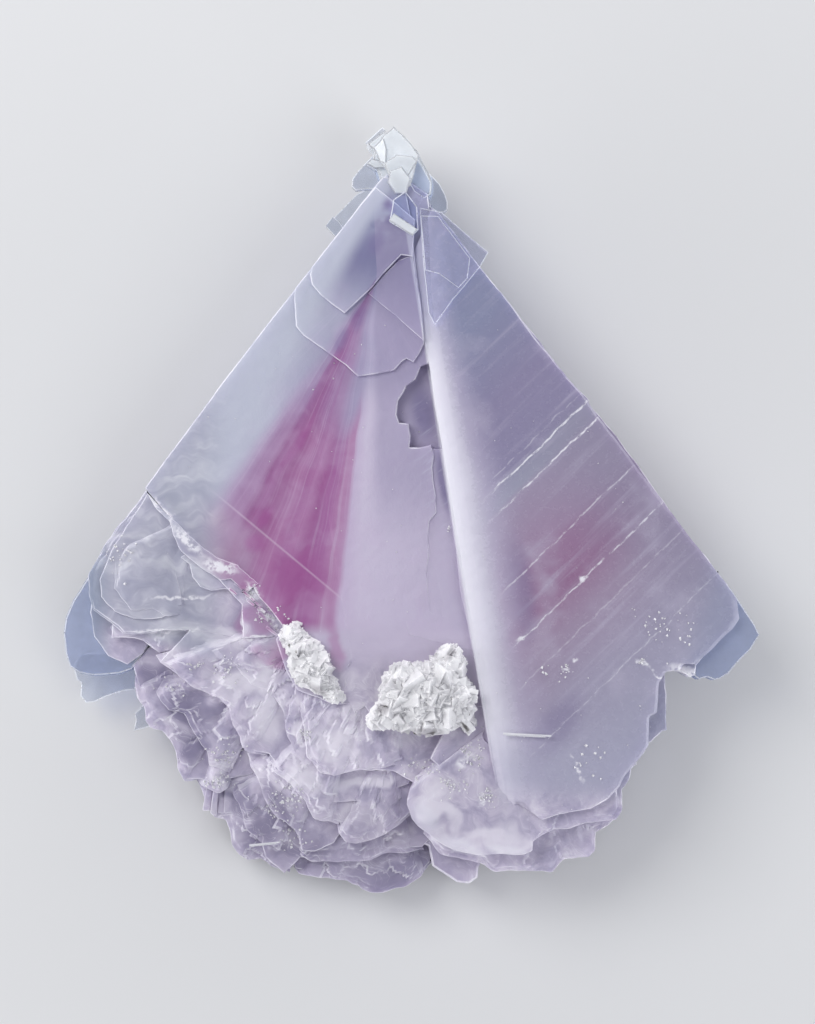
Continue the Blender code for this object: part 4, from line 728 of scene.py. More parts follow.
def spot(tree, at, centre, size, turn=0.0):
    """1 inside an ellipse, fading smoothly to 0 at its rim; `at` is the place as x and y in mm."""
    cos, sin = np.cos(np.radians(turn)), np.sin(np.radians(turn))
    squares = []
    for (a, b), half in zip(((cos, sin), (-sin, cos)), size):
        across = reckon(tree, "MULTIPLY_ADD", at[1], b / half, -(a * centre[0] + b * centre[1]) / half)
        across = reckon(tree, "MULTIPLY_ADD", at[0], a / half, across)
        squares.append(times(tree, across, across))
    return fade(tree, reckon(tree, "SQRT", plus(tree, *squares)), 1.0, 0.25)


def spots(tree, at, *places):
    """The strongest of several spots, each given as (x, y, half length, half width, turn in degrees)."""
    total = None
    for x, y, long, wide, turn in places:
        one = spot(tree, at, (x, y), (long, wide), turn)
        total = one if total is None else larger(tree, total, one)
    return total


def new_finish(name):
    """A new material, with its node tree and its shader."""
    made = bpy.data.materials.new(name)
    made.use_nodes = True
    return made, made.node_tree, made.node_tree.nodes["Principled BSDF"]


def place_on(tree):
    """The place on the object, in metres."""
    return add_node(tree, "ShaderNodeTexCoord").outputs["Object"]


def place_in_mm(tree):
    """The place on the object, in millimetres."""
    return add_node(tree, "ShaderNodeVectorMath", {"operation": "SCALE"}, Vector=place_on(tree),
                    Scale=1000.0).outputs[0]


def dress(obj, *finishes):
    """Gives the object these finishes and no others."""
    obj.data.materials.clear()
    for finish in finishes:
        obj.data.materials.append(finish)


fan_finish, tree, shader = new_finish("milky_lavender_anhydrite")
in_mm = place_in_mm(tree)
tx, ty, tz = split_axes(tree, in_mm)


def bent_by(tree, vector, scale, far, detail=1.5):
    """The place moved about by a smooth noise of this scale, by at most about half of `far` in mm."""
    warp = add_node(tree, "ShaderNodeTexNoise", Vector=vector, Scale=scale, Detail=detail).outputs["Color"]
    warp = add_node(tree, "ShaderNodeVectorMath", {"operation": "SUBTRACT"}, Vector=warp,
                    _1=(0.5, 0.5, 0.5)).outputs[0]
    return add_node(tree, "ShaderNodeVectorMath", {"operation": "MULTIPLY_ADD"}, Vector=warp,
                    _1=(far, far, 0.0), _2=vector).outputs[0]


bent = bent_by(tree, in_mm, 0.16, 0.8, 1.0)
curly = bent_by(tree, in_mm, 0.35, 5.0)
patchy = noise(tree, in_mm, 0.5, 2.0)
x, y, _ = split_axes(tree, bent)

# The colour of the left blade fans out from a point under the tip: pale along the edge, then magenta bands.
away_x = plus(tree, x, 3.8)
away_y = minus(tree, 26.4, y)
DEGREES = 57.3     # in a radian
bearing = times(tree, reckon(tree, "ARCTAN2", away_x, away_y), DEGREES)
reach = reckon(tree, "SQRT", plus(tree, times(tree, away_x, away_x), times(tree, away_y, away_y)))
streaks = noise(tree, join_axes(tree, times(tree, bearing, 0.7), times(tree, reach, 0.016)), 1.0, 4.0, 0.7)
fan_colour = ramp(tree, bearing, -50.0, 20.0, [
    (-50.0, 194, 197, 213), (-38.0, 184, 184, 205), (-34.5, 174, 162, 192), (-32.3, 162, 140, 176),
    (-30.0, 167, 143, 179), (-28.2, 148, 100, 151), (-27.0, 158, 113, 162), (-25.2, 145, 85, 143),
    (-23.6, 152, 96, 150), (-20.8, 168, 125, 169), (-18.6, 160, 108, 160), (-16.8, 172, 131, 175),
    (-14.4, 152, 88, 147), (-11.0, 160, 100, 156), (-8.6, 174, 128, 171), (-7.2, 174, 130, 173),
    (-6.0, 193, 178, 207), (-3.0, 200, 190, 214), (20.0, 186, 177, 203),
])
near_colour = ramp(tree, bearing, -50.0, 20.0, [
    (-50.0, 172, 172, 196), (-38.0, 168, 166, 192), (-33.0, 166, 156, 187), (-29.6, 158, 136, 175),
    (-27.6, 150, 108, 157), (-25.0, 147, 91, 147), (-22.6, 150, 101, 154), (-19.0, 156, 121, 166),
    (-15.0, 162, 136, 175), (-10.0, 160, 150, 184), (-4.0, 172, 165, 195), (20.0, 166, 158, 191),
])
out_here = reckon(tree, "MULTIPLY_ADD", fade(tree, bearing, -12.0, -3.0), 5.5, reach)
left_colour = blend(tree, fade(tree, out_here, 15.0, 21.0), near_colour, fan_colour)
left_colour = tinted(tree, left_colour, fade(tree, streaks, 0.5, 0.72), 0.34, (200, 190, 214))
darker = times(tree, fade(tree, streaks, 0.46, 0.3), fade(tree, bearing, -34.0, -28.0))
darker = times(tree, darker, fade(tree, bearing, -5.0, -9.0))
left_colour = tinted(tree, left_colour, darker, 0.5, (158, 84, 148))
in_magenta = times(tree, fade(tree, bearing, -38.0, -32.0), fade(tree, bearing, -12.0, -17.0))
left_colour = blend(tree, times(tree, in_magenta, fade(tree, reach, 10.0, 20.0)), left_colour,
                    (0.96, 0.78, 0.88, 1.0), "MULTIPLY")
ended = times(tree, fade(tree, reach, 30.0, 33.5), fade(tree, bearing, -22.0, -25.0))
left_colour = tinted(tree, left_colour, ended, 0.75, (168, 140, 172))
deep_pink = spots(tree, (x, y), (-12.6, -7.6, 5.4, 4.8, -60), (-17.4, -3.6, 1.7, 1.7, 0),
                  (-16.4, -0.6, 2.2, 0.9, 60), (-12.6, 7.6, 5.5, 0.7, 60))
left_colour = tinted(tree, left_colour, deep_pink, 0.85, (152, 78, 143))
softly = fade(tree, noise(tree, curly, 0.25, 2.0, 0.6), 0.4, 0.66)
left_colour = tinted(tree, left_colour, softly, 0.16, (196, 176, 208))
left_colour = blend(tree, fade(tree, y, -12.5, -14.5), left_colour, linear(196, 186, 210))
at_top = times(tree, fade(tree, reckon(tree, "MULTIPLY_ADD", x, 0.3, y), 19.5, 27.5), 0.92)
left_colour = blend(tree, at_top, left_colour, linear(113, 112, 153))
mid_lilac = times(tree, fade(tree, y, -5.0, 5.0), fade(tree, bearing, -3.0, 3.0))
left_colour = tinted(tree, left_colour, mid_lilac, 0.6, (156, 147, 179))
violet = spots(tree, (x, y), (-2.3, 34.6, 1.3, 0.8, -50), (-3.7, 30.4, 2.2, 1.3, 70),
               (-2.2, 33.2, 1.0, 0.6, 60), (-1.0, 28.4, 1.2, 0.8, 30), (-5.6, 22.0, 2.6, 1.2, 70),
               (-7.6, 19.4, 2.4, 1.0, 62))
hazy = times(tree, fade(tree, ty, 29.0, 34.5), fade(tree, patchy, 0.34, 0.56))
left_colour = tinted(tree, left_colour, hazy, 0.7, (176, 180, 204))
left_colour = tinted(tree, left_colour, violet, 0.42, (112, 98, 150))
trace = reckon(tree, "ABSOLUTE", plus(tree, reckon(tree, "MULTIPLY_ADD", tx, 0.64, 12.5),
                                      times(tree, ty, 0.77)))
left_colour = blend(tree, times(tree, fade(tree, trace, 0.2, 0.0), fade(tree, tx, -6.5, -9.0)), left_colour,
                    blend(tree, 0.32, left_colour, linear(222, 206, 226)))
edge_left = plus(tree, times(tree, plus(tree, tx, 3.5), 0.794), times(tree, minus(tree, ty, 37.3), -0.608))
along_edge = reckon(tree, "DIVIDE", edge_left, mapped(tree, ty, 33.0, 8.0, 2.2, 7.6))
left_colour = blend(tree, fade(tree, along_edge, 1.15, 0.5), left_colour, linear(186, 189, 207))
# Painted shade: the recess beside the ridge, where the left blade steps down, is darkened.
painted_recess_shade = spots(tree, (tx, ty), (1.6, 11.4, 1.9, 4.4, 12), (3.9, 3.4, 0.9, 5.0, 10))
left_colour = tinted(tree, left_colour, painted_recess_shade, 0.8, (124, 115, 156))
scratched = noise(tree, join_axes(tree, reckon(tree, "MULTIPLY_ADD", tx, -0.7, ty), times(tree, tx, 0.2)),
                  1.6, 2.0, 0.7)
scratched = times(tree, fade(tree, scratched, 0.52, 0.7), spot(tree, (tx, ty), (2.6, 5.0), (2.4, 12.0), 8.0))
left_colour = tinted(tree, left_colour, scratched, 0.4, (196, 196, 216))

# The right blade is coloured in bands along its cleavage, with a painted white glow along the ridge.
across_cleavage = plus(tree, times(tree, tx, ACROSS_CLEAVAGE[0]), times(tree, ty, ACROSS_CLEAVAGE[1]))
along_cleavage = plus(tree, times(tree, tx, 0.718), times(tree, ty, 0.696))
soft_cleavage = plus(tree, times(tree, x, ACROSS_CLEAVAGE[0]), times(tree, y, ACROSS_CLEAVAGE[1]))
right_colour = ramp(tree, soft_cleavage, -42.0, 26.0, [
    (-42.0, 150, 153, 179), (-34.0, 162, 160, 183), (-28.0, 160, 154, 178), (-22.0, 157, 140, 166),
    (-19.4, 153, 126, 156), (-18.2, 146, 110, 145), (-13.9, 151, 120, 153), (-13.2, 157, 133, 163),
    (-7.3, 158, 146, 172), (-6.8, 157, 156, 178), (-5.2, 150, 149, 173), (-4.6, 141, 135, 166),
    (2.0, 140, 133, 165), (10.0, 136, 139, 169), (24.0, 142, 146, 176),
])
dusky = spots(tree, (x, y), (12.4, -9.0, 8.0, 2.4, 98), (35.4, -15.6, 3.4, 2.0, 40),
              (16.0, -25.0, 7.0, 3.0, 50))
greyed = times(tree, fade(tree, along_cleavage, 9.0, 21.0), fade(tree, across_cleavage, -2.0, -8.0))
right_colour = tinted(tree, right_colour, greyed, 0.8, (146, 140, 165))
grain = noise(tree, join_axes(tree, times(tree, along_cleavage, 0.06), across_cleavage), 0.8, 3.0, 0.65)
cloud = noise(tree, in_mm, 0.12, 3.0, 0.6)
right_colour = tinted(tree, right_colour, fade(tree, grain, 0.5, 0.78), 0.5, (186, 180, 202))
right_colour = tinted(tree, right_colour, fade(tree, cloud, 0.48, 0.7), 0.45, (184, 178, 200))
right_colour = tinted(tree, right_colour, dusky, 0.55, (126, 116, 152))
from_ridge = minus(tree, tx, reckon(tree, "MULTIPLY_ADD", ty, -0.1637, 5.0))
from_ridge = times(tree, from_ridge, mapped(tree, ty, 4.0, 24.0, 1.0, 1.8))
# Painted light: a white glow for the light the thick edge lets through, fading from the ridge and towards the
# tip.
painted_ridge_glow_colour = ramp(tree, from_ridge, 0.0, 8.0, [
    (0.0, 226, 224, 236), (1.2, 216, 213, 228), (2.6, 200, 196, 214), (4.0, 186, 179, 203),
    (8.0, 170, 162, 190),
])
painted_ridge_glow_colour = blend(tree, fade(tree, ty, 15.0, 26.0), painted_ridge_glow_colour, linear(172, 170, 196))
painted_ridge_glow = fade(tree, plus(tree, from_ridge, times(tree, cloud, 3.0)), 9.6, 3.0)
right_colour = blend(tree, painted_ridge_glow, right_colour, painted_ridge_glow_colour)
right_colour = tinted(tree, right_colour, fade(tree, ty, -22.0, -30.0), 0.7, (172, 170, 193))

# Straight broken lines cross the right blade where layers of the crystal end.
lines = None
wander = reckon(tree, "MULTIPLY_ADD", minus(tree, patchy, 0.5), 0.7, across_cleavage)
for where, width, strength in (
    (-3.9, 0.1, 0.3), (-5.03, 0.15, 1.0), (-7.17, 0.13, 0.95), (-13.95, 0.12, 0.55), (-19.2, 0.13, 0.75),
    (-23.0, 0.12, 0.3), (-29.3, 0.1, 0.4),
):
    off = reckon(tree, "ABSOLUTE", minus(tree, wander, where))
    one = times(tree, fade(tree, off, width, width * 0.4), strength)
    lines = one if lines is None else larger(tree, lines, one)
broken = noise(tree, join_axes(tree, along_cleavage, times(tree, across_cleavage, 3.0)), 0.9, 3.0, 0.75)
lines = times(tree, lines, fade(tree, broken, 0.38, 0.58))
lines = times(tree, lines, fade(tree, from_ridge, 3.0, 6.0))
right_colour = blend(tree, lines, right_colour, linear(228, 226, 236))

on_right = fade(tree, from_ridge, -0.55, -0.1)
colour = blend(tree, on_right, left_colour, right_colour)

# The lower rim and the wings are milky, clouded with white and with painted purple shade in their hollows,
# and blue-grey at their edges.
low_left = times(tree, fade(tree, reckon(tree, "MULTIPLY_ADD", tx, 0.86, ty), -15.0, -23.0),
                 fade(tree, from_ridge, 1.5, -1.0))
beside_blade = fade(tree, reckon(tree, "MULTIPLY_ADD", tx, -0.03, tz), 11.8, 11.5)
low_left = times(tree, low_left, larger(tree, beside_blade, fade(tree, ty, -14.0, -20.0)))
low_left = larger(tree, low_left, times(tree, fade(tree, ty, -30.0, -34.0), 0.85))
curly_x, curly_y, _ = split_axes(tree, curly)
mottle = noise(tree, curly, 0.3, 4.0, 0.64)
shell_colour = ramp(tree, mottle, 0.3, 0.68, [
    (0.3, 156, 150, 177), (0.42, 175, 168, 193), (0.52, 192, 184, 206), (0.68, 214, 208, 223),
])
# Painted shade: purple patches in the hollows of the lower rim and the left flank.
purple_painted_shade = spots(tree, (curly_x, curly_y), (-25.0, -22.6, 5.0, 3.2, -40), (-25.5, -27.0, 3.6, 2.6, -70),
               (-19.5, -32.5, 5.4, 2.0, -65), (-17.0, -36.6, 3.6, 2.4, 20), (-29.0, -18.8, 3.2, 2.0, 20),
               (-12.5, -39.0, 4.0, 1.6, -10), (-1.5, -41.4, 6.5, 2.2, 15), (-15.0, -34.0, 4.0, 1.6, -50))
shell_colour = tinted(tree, shell_colour, purple_painted_shade, 0.8, (122, 115, 146))
lowest = times(tree, fade(tree, ty, -29.0, -42.0), fade(tree, tx, 8.0, 2.0))
shell_colour = tinted(tree, shell_colour, lowest, 0.5, (138, 131, 155))
milky = spots(tree, (curly_x, curly_y), (-22.2, -31.0, 2.4, 1.2, -5), (-21.5, -14.4, 4.4, 2.0, 10),
              (-18.8, -19.4, 5.6, 2.8, 15), (-16.0, -23.0, 2.6, 4.0, 0), (-8.5, -26.5, 4.6, 3.2, 0),
              (-11.8, -25.2, 1.6, 0.9, 0), (-12.4, -30.4, 4.0, 1.8, -30), (3.4, -33.6, 4.6, 1.6, -50),
              (9.0, -37.0, 6.0, 1.5, 0), (-5.0, -30.8, 5.0, 1.5, 5))
shell_colour = tinted(tree, shell_colour, milky, 0.8, (226, 221, 234))
thread = noise(tree, join_axes(tree, reckon(tree, "MULTIPLY_ADD", curly_x, 0.9, curly_y),
                               times(tree, curly_y, 0.25)), 0.8, 2.0, 0.6)
threads = times(tree, fade(tree, reckon(tree, "ABSOLUTE", minus(tree, thread, 0.5)), 0.018, 0.0),
                fade(tree, mottle, 0.42, 0.56))
shell_colour = tinted(tree, shell_colour, threads, 0.4, (228, 225, 237))
white_band = spots(tree, (x, y), (1.8, -34.6, 3.4, 1.7, -50), (6.0, -38.0, 4.6, 1.3, -20),
                   (11.0, -38.4, 3.4, 0.9, -4))
shell_colour = tinted(tree, shell_colour, white_band, 0.6, (226, 224, 236))
colour = blend(tree, low_left, colour, shell_colour)
rosy = spots(tree, (curly_x, curly_y), (-17.6, -12.4, 3.0, 2.6, -30), (-8.2, -15.4, 1.6, 3.4, 12),
             (-14.6, -16.4, 4.0, 1.8, 10))
colour = tinted(tree, colour, rosy, 0.6, (170, 118, 166))
bits = split_axes(tree, bent_by(tree, in_mm, 1.0, 1.2, 1.0))
broken_edge = spots(tree, bits, (-28.0, 0.2, 2.6, 0.5, -50), (-25.2, -3.3, 3.4, 0.9, -46),
                    (-21.6, -6.3, 3.0, 1.0, -14), (-17.7, -9.1, 1.7, 1.0, -45),
                    (-15.8, -12.2, 3.0, 0.5, -48), (-19.0, -12.4, 2.6, 0.3, 88),
                    (-17.2, -14.4, 2.4, 0.35, 4), (26.3, -17.1, 1.0, 0.5, -20), (27.8, -18.3, 1.6, 0.3, -45),
                    (31.4, -18.3, 3.2, 0.9, -18), (12.6, -14.4, 0.8, 0.4, 20), (19.6, -7.6, 0.8, 0.4, 30),
                    (17.6, -17.8, 0.55, 0.4, 0), (18.8, -16.8, 0.5, 0.3, -30), (8.7, -32.2, 1.8, 0.6, 55),
                    (6.4, -28.2, 1.8, 0.8, 30), (19.0, -29.0, 2.0, 0.3, -65), (-26.0, -9.8, 5.0, 0.28, 3),
                    (-28.0, -13.7, 6.0, 0.3, 2))
broken_edge = times(tree, broken_edge, fade(tree, noise(tree, in_mm, 1.3, 2.0, 0.7), 0.36, 0.56))
wing = fade(tree, reckon(tree, "MULTIPLY_ADD", tx, 0.3, ty), -24.5, -22.5)
wing = times(tree, fade(tree, tx, -19.5, -24.5), wing)
sheen = noise(tree, join_axes(tree, times(tree, curly_x, 0.3), curly_y), 0.4, 3.0, 0.62)
wing_colour = ramp(tree, sheen, 0.36, 0.66, [
    (0.36, 158, 160, 181), (0.5, 173, 174, 192), (0.66, 204, 205, 216),
])
colour = blend(tree, times(tree, wing, 0.85), colour, wing_colour)
wing_left = times(tree, fade(tree, tx, -33.4, -36.4), fade(tree, ty, 0.0, -6.0))
colour = blend(tree, wing_left, colour, linear(141, 149, 170))
wing_right = fade(tree, reckon(tree, "MULTIPLY_ADD", ty, -0.3, tx), 34.0, 39.0)
colour = tinted(tree, colour, wing_right, 0.7, (150, 154, 180))
colour = tinted(tree, colour, broken_edge, 0.95, (234, 232, 241))
# Painted shade: the colour darkens where the surface lies lower, from 8 mm down to 3 mm above the floor.
deep = fade(tree, tz, 8.0, 3.0)
colour = tinted(tree, colour, deep, 0.4, (140, 134, 168))

# Faces that lean are painted whiter than the flat ones, as a painted highlight on their bevels and walls.
facing_up = split_axes(tree, add_node(tree, "ShaderNodeNewGeometry").outputs["True Normal"])[2]
painted_bevel_highlight = times(tree, fade(tree, facing_up, 0.93, 0.7), fade(tree, facing_up, 0.1, 0.4))
painted_bevel_highlight = times(tree, painted_bevel_highlight, fade(tree, patchy, 0.3, 0.6))
painted_bevel_highlight = times(tree, painted_bevel_highlight, mapped(tree, low_left, 0.0, 1.0, 0.6, 0.5))
colour = blend(tree, painted_bevel_highlight, colour, linear(232, 230, 240))
colour = blend(tree, 1.0, colour, (0.91, 0.91, 0.9, 1.0), "MULTIPLY")

# Growth lines parallel to the crystal faces, and a fine unevenness, roughen the surface a little.
fine = noise(tree, in_mm, 1.4, 2.0)
across_lines = add_node(tree, "ShaderNodeMix", _0=on_right, _2=edge_left, _3=across_cleavage).outputs[0]
along_lines = add_node(tree, "ShaderNodeMix", _0=on_right, _2=ty, _3=along_cleavage).outputs[0]
drawn_out = join_axes(tree, times(tree, across_lines, 2.3), times(tree, along_lines, 0.055))
hair = noise(tree, drawn_out, 1.0, 2.0)
height = plus(tree, times(tree, hair, 0.15), times(tree, fine, 0.12))
height = reckon(tree, "MULTIPLY_ADD", noise(tree, in_mm, 0.5, 1.0, 0.6), 0.9, height)
bump = add_node(tree, "ShaderNodeBump", Strength=0.6, Distance=0.00016, Height=height)
tree.links.new(bump.outputs[0], shader.inputs["Normal"])
tree.links.new(colour, shader.inputs["Base Color"])
rough = mapped(tree, fine, 0.3, 0.7, 0.14, 0.32)
rough = plus(tree, rough, times(tree, fade(tree, from_ridge, 4.0, 0.5), 0.25))
tree.links.new(rough, shader.inputs["Roughness"])


def scatter_inside(shader, share, far, radius=(1.0, 1.0, 1.0)):
    """Lets a share of the light in, to come out again about `far` metres away."""
    shader.inputs["Subsurface Weight"].default_value = share
    shader.inputs["Subsurface Radius"].default_value = radius
    shader.inputs["Subsurface Scale"].default_value = far


CRYSTAL_IOR = 1.57
shader.inputs["IOR"].default_value = CRYSTAL_IOR
scatter_inside(shader, 0.3, 0.0035, (1.0, 0.9, 1.0))
dress(fan, fan_finish)
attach(fan, "root")
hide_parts("anhydrite_fan")


# Small clear crystals crown the tip. The largest is milky inside, the thin ones at its sides are like window
# glass with frosted rims, and a clear wedge stands on the blades below it.
clouded = bpy.data.node_groups.new("clouded_and_specked_crystal", "ShaderNodeTree")
clouded.interface.new_socket("Colour", in_out="INPUT", socket_type="NodeSocketColor")
clouded.interface.new_socket("Roughness", in_out="INPUT", socket_type="NodeSocketFloat")
clouded.interface.new_socket("Colour", in_out="OUTPUT", socket_type="NodeSocketColor")
clouded.interface.new_socket("Roughness", in_out="OUTPUT", socket_type="NodeSocketFloat")
clouded.interface.new_socket("Normal", in_out="OUTPUT", socket_type="NodeSocketVector")
given = clouded.nodes.new("NodeGroupInput").outputs
place = place_on(clouded)
specks = noise(clouded, place, 900.0, 4.0, 0.6)
clouds = noise(clouded, place, 260.0, 3.0, 0.6)
tone = add_node(clouded, "ShaderNodeVectorMath", {"operation": "SCALE"}, Vector=given["Colour"],
                Scale=mapped(clouded, clouds, 0.35, 0.65, 0.86, 1.0))
gloss = mapped(clouded, specks, 0.35, 0.7, 0.0, 0.12)
relief = add_node(clouded, "ShaderNodeBump", Strength=0.25, Distance=0.0001, Height=specks)
add_node(clouded, "NodeGroupOutput", Colour=tone.outputs[0], Normal=relief.outputs[0],
         Roughness=plus(clouded, given["Roughness"], gloss))


def clear_finish(name, colour, rough, milk=0.0, density=0.0, absorbed=(1.0, 1.0, 1.0, 1.0)):
    """Anhydrite that is transparent but for a share of milk, and lets lamps through to what is behind it."""
    made, tree, shader = new_finish(name)
    look = add_node(tree, "ShaderNodeGroup", {"node_tree": clouded}, Colour=colour, Roughness=rough).outputs
    tree.links.new(look["Colour"], shader.inputs["Base Color"])
    tree.links.new(look["Roughness"], shader.inputs["Roughness"])
    tree.links.new(look["Normal"], shader.inputs["Normal"])
    shader.inputs["Transmission Weight"].default_value = 1.0 - milk
    shader.inputs["IOR"].default_value = CRYSTAL_IOR
    scatter_inside(shader, 0.5 if milk > 0.5 else 0.0, 0.001)
    if milk < 0.6:
        lamp_ray = add_node(tree, "ShaderNodeLightPath").outputs["Is Shadow Ray"]
        through = add_node(tree, "ShaderNodeBsdfTransparent", Color=(0.85, 0.86, 0.9, 1.0))
        either = add_node(tree, "ShaderNodeMixShader", _0=lamp_ray, _1=shader.outputs[0],
                          _2=through.outputs[0])
        tree.links.new(either.outputs[0], tree.nodes["Material Output"].inputs["Surface"])
    if density:
        depth = add_node(tree, "ShaderNodeVolumeAbsorption", Color=absorbed, Density=density)
        tree.links.new(depth.outputs[0], tree.nodes["Material Output"].inputs["Volume"])
    return made


window_clear = clear_finish("window_clear_anhydrite", (0.97, 0.98, 1.0, 1.0), 0.03, 0.0, 260.0,
                            (0.52, 0.62, 0.84, 1.0))
COOL = (0.6, 0.64, 0.84, 1.0)
misty = clear_finish("misty_anhydrite", (0.5, 0.55, 0.7, 1.0), 0.08, 0.4, 90.0, COOL)
faint = clear_finish("faintly_milky_anhydrite", (0.72, 0.72, 0.82, 1.0), 0.05, 0.14, 40.0, COOL)
milk_white = clear_finish("milk_white_anhydrite", (0.8, 0.83, 0.87, 1.0), 0.14, 0.88)
frosted_rim = clear_finish("frosted_rim", (0.86, 0.88, 0.93, 1.0), 0.25, 0.4)


def clear_piece(name, finish, solids):
    """Solids united into one piece: flat faces in its own finish, and bevels and walls frosted."""
    made = grown_together(name, solids, 12.0)
    dress(made, finish, frosted_rim)
    normals = np.empty(len(made.data.polygons) * 3)
    made.data.polygons.foreach_get("normal", normals)
    upright = np.abs(normals.reshape(-1, 3)[:, 2])
    rim = (upright < 0.9) & (upright > 0.15)
    made.data.polygons.foreach_set("material_index", rim.astype(np.int32))
    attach(made, "root")


clear_piece("tip_crown", milk_white, [
    tablet([(-4.6, 41.4), (-4.85, 41.9), (-3.0, 43.3), (-2.4, 43.3), (-1.7, 44.0), (-1.1, 43.4),
            (-0.5, 42.9), (0.2, 42.1), (1.1, 41.1), (1.6, 40.0), (2.4, 38.6), (2.7, 37.4), (2.6, 36.2),
            (1.4, 34.6), (-1.4, 33.8), (-3.0, 36.6), (-3.6, 38.4), (-4.3, 39.9), (-4.1, 41.0)],
           5.7, 10.9, (0.05, -0.02), (-1.0, 39.0), jag=0.04, bevel=0.15, step=0.25,
           ledges=((0.4, 0.1), (0.75, 0.1))),
    tablet([(-3.9, 41.3), (-3.0, 42.6), (-1.75, 43.75), (-0.5, 42.6), (0.4, 41.6), (1.2, 40.4), (0.6, 38.0),
            (0.2, 36.8), (-0.9, 36.2), (-1.9, 36.8), (-2.5, 38.4), (-3.4, 39.6)],
           7.0, 12.3, (0.1, -0.05), (-1.0, 39.5), jag=0.05, bevel=0.12, step=0.25, ledges=((0.6, 0.1),)),
    tablet([(-4.0, 41.3), (-2.9, 42.3), (-2.5, 41.0), (-2.6, 39.3), (-3.3, 39.7)],
           8.0, 12.2, (0.4, 0.02), (-3.0, 41.0), jag=0.03, bevel=0.12, step=0.25),
    tablet([(-4.8, 39.5), (-4.2, 40.1), (-3.0, 39.8), (-2.6, 39.0), (-3.9, 38.9)],
           7.0, 11.2, (0.1, 0.1), (-4.0, 39.4), jag=0.06, bevel=0.12, step=0.25),
    tablet([(-2.8, 39.4), (-1.4, 40.4), (0.4, 40.2), (0.9, 39.6), (0.0, 38.0), (-1.0, 37.4), (-2.2, 37.8)],
           8.0, 12.7, (-0.06, 0.12), (-1.0, 39.0), jag=0.06, bevel=0.15, step=0.25),
    tablet([(-2.2, 38.6), (-0.8, 39.0), (0.2, 37.6), (-0.4, 36.0), (-1.6, 35.9), (-2.4, 37.2)],
           8.0, 12.9, (0.05, 0.16), (-1.0, 37.6), jag=0.07, bevel=0.15, step=0.25),
])
clear_piece("tip_clear_tablets", window_clear, [
    tablet([(-5.0, 42.1), (-3.05, 43.85), (-2.65, 43.5), (-4.55, 41.85)],
           8.6, 9.6, jag=0.015, bevel=0.12, step=0.2),
    tablet([(-4.2, 40.7), (-5.8, 39.0), (-6.5, 38.1), (-6.55, 37.2), (-6.1, 36.75), (-4.9, 36.9),
            (-3.4, 36.9), (-2.6, 38.2), (-3.2, 40.2)],
           6.6, 8.6, (0.1, 0.0), (-5.0, 38.0), jag=0.03, bevel=0.12, step=0.25),
    tablet([(2.2, 38.7), (3.5, 37.4), (4.15, 36.2), (4.45, 35.3), (4.45, 34.5), (4.1, 34.15), (3.4, 34.1),
            (2.2, 34.4), (1.2, 35.2), (1.6, 37.6)],
           7.2, 9.5, (-0.1, 0.0), (3.5, 36.0), jag=0.03, bevel=0.12, step=0.25),
    tablet([(0.9, 40.0), (1.6, 38.9), (2.5, 37.3), (2.4, 35.9), (1.7, 35.4), (0.6, 36.2), (-0.1, 37.4),
            (0.1, 38.8)],
           10.0, 12.2, (-0.05, -0.12), (1.0, 38.0), jag=0.03, bevel=0.1, step=0.25),
    tablet([(-2.2, 32.7), (0.4, 31.1), (1.1, 31.8), (0.9, 34.4), (-0.4, 36.1), (-1.8, 35.2)],
           11.0, 13.5, (0.0, 0.1), (0.0, 33.0), jag=0.03, bevel=0.12, step=0.25),
])
clear_piece("wedge_edge", milk_white, [
    tablet([(-2.25, 32.85), (0.45, 31.15), (0.95, 31.85), (-1.7, 33.6)],
           11.0, 13.75, (0.0, 0.12), (0.0, 32.4), jag=0.03, bevel=0.1, step=0.25),
])


# Clear plates look out past the edges of the blades: a square-cornered one on the right below the tip, a
# small one on the left, the rims of both wings, and a flake and a chip under the left wing.
clear_piece("side_plates", window_clear, [
    tablet([(2.3, 34.7), (3.75, 33.75), (8.9, 29.25), (8.0, 27.6), (6.0, 26.6), (1.5, 32.0)],
           9.4, 11.4, jag=0.03, bevel=0.08, step=0.3),
    tablet([(-4.4, 37.2), (-6.0, 36.5), (-9.6, 32.8), (-8.3, 31.4), (-5.0, 31.4), (-3.0, 34.5)],
           5.2, 6.6, jag=0.02, bevel=0.08, step=0.3),
    tablet([(-8.8, 33.9), (-9.6, 32.8), (-8.3, 31.4), (-7.3, 32.2), (-8.1, 33.4)],
           5.4, 7.0, jag=0.02, bevel=0.08, step=0.3),
])
clear_piece("corner_plate", faint, [
    tablet([(1.2, 34.3), (3.7, 33.8), (7.2, 30.75), (8.95, 29.3), (8.05, 27.7), (6.3, 25.5), (5.0, 24.0),
            (2.9, 21.0), (2.2, 22.4), (1.6, 28.0)],
           12.6, 13.4, (-0.035, -0.03), (4.0, 28.0), jag=0.02, bevel=0.08, step=0.3),
    tablet([(1.3, 33.4), (3.3, 33.3), (6.9, 28.6), (6.6, 26.3), (5.6, 25.2), (3.4, 26.8), (1.8, 27.2)],
           12.8, 13.7, (-0.035, -0.03), (4.0, 28.0), jag=0.02, bevel=0.08, step=0.3),
])
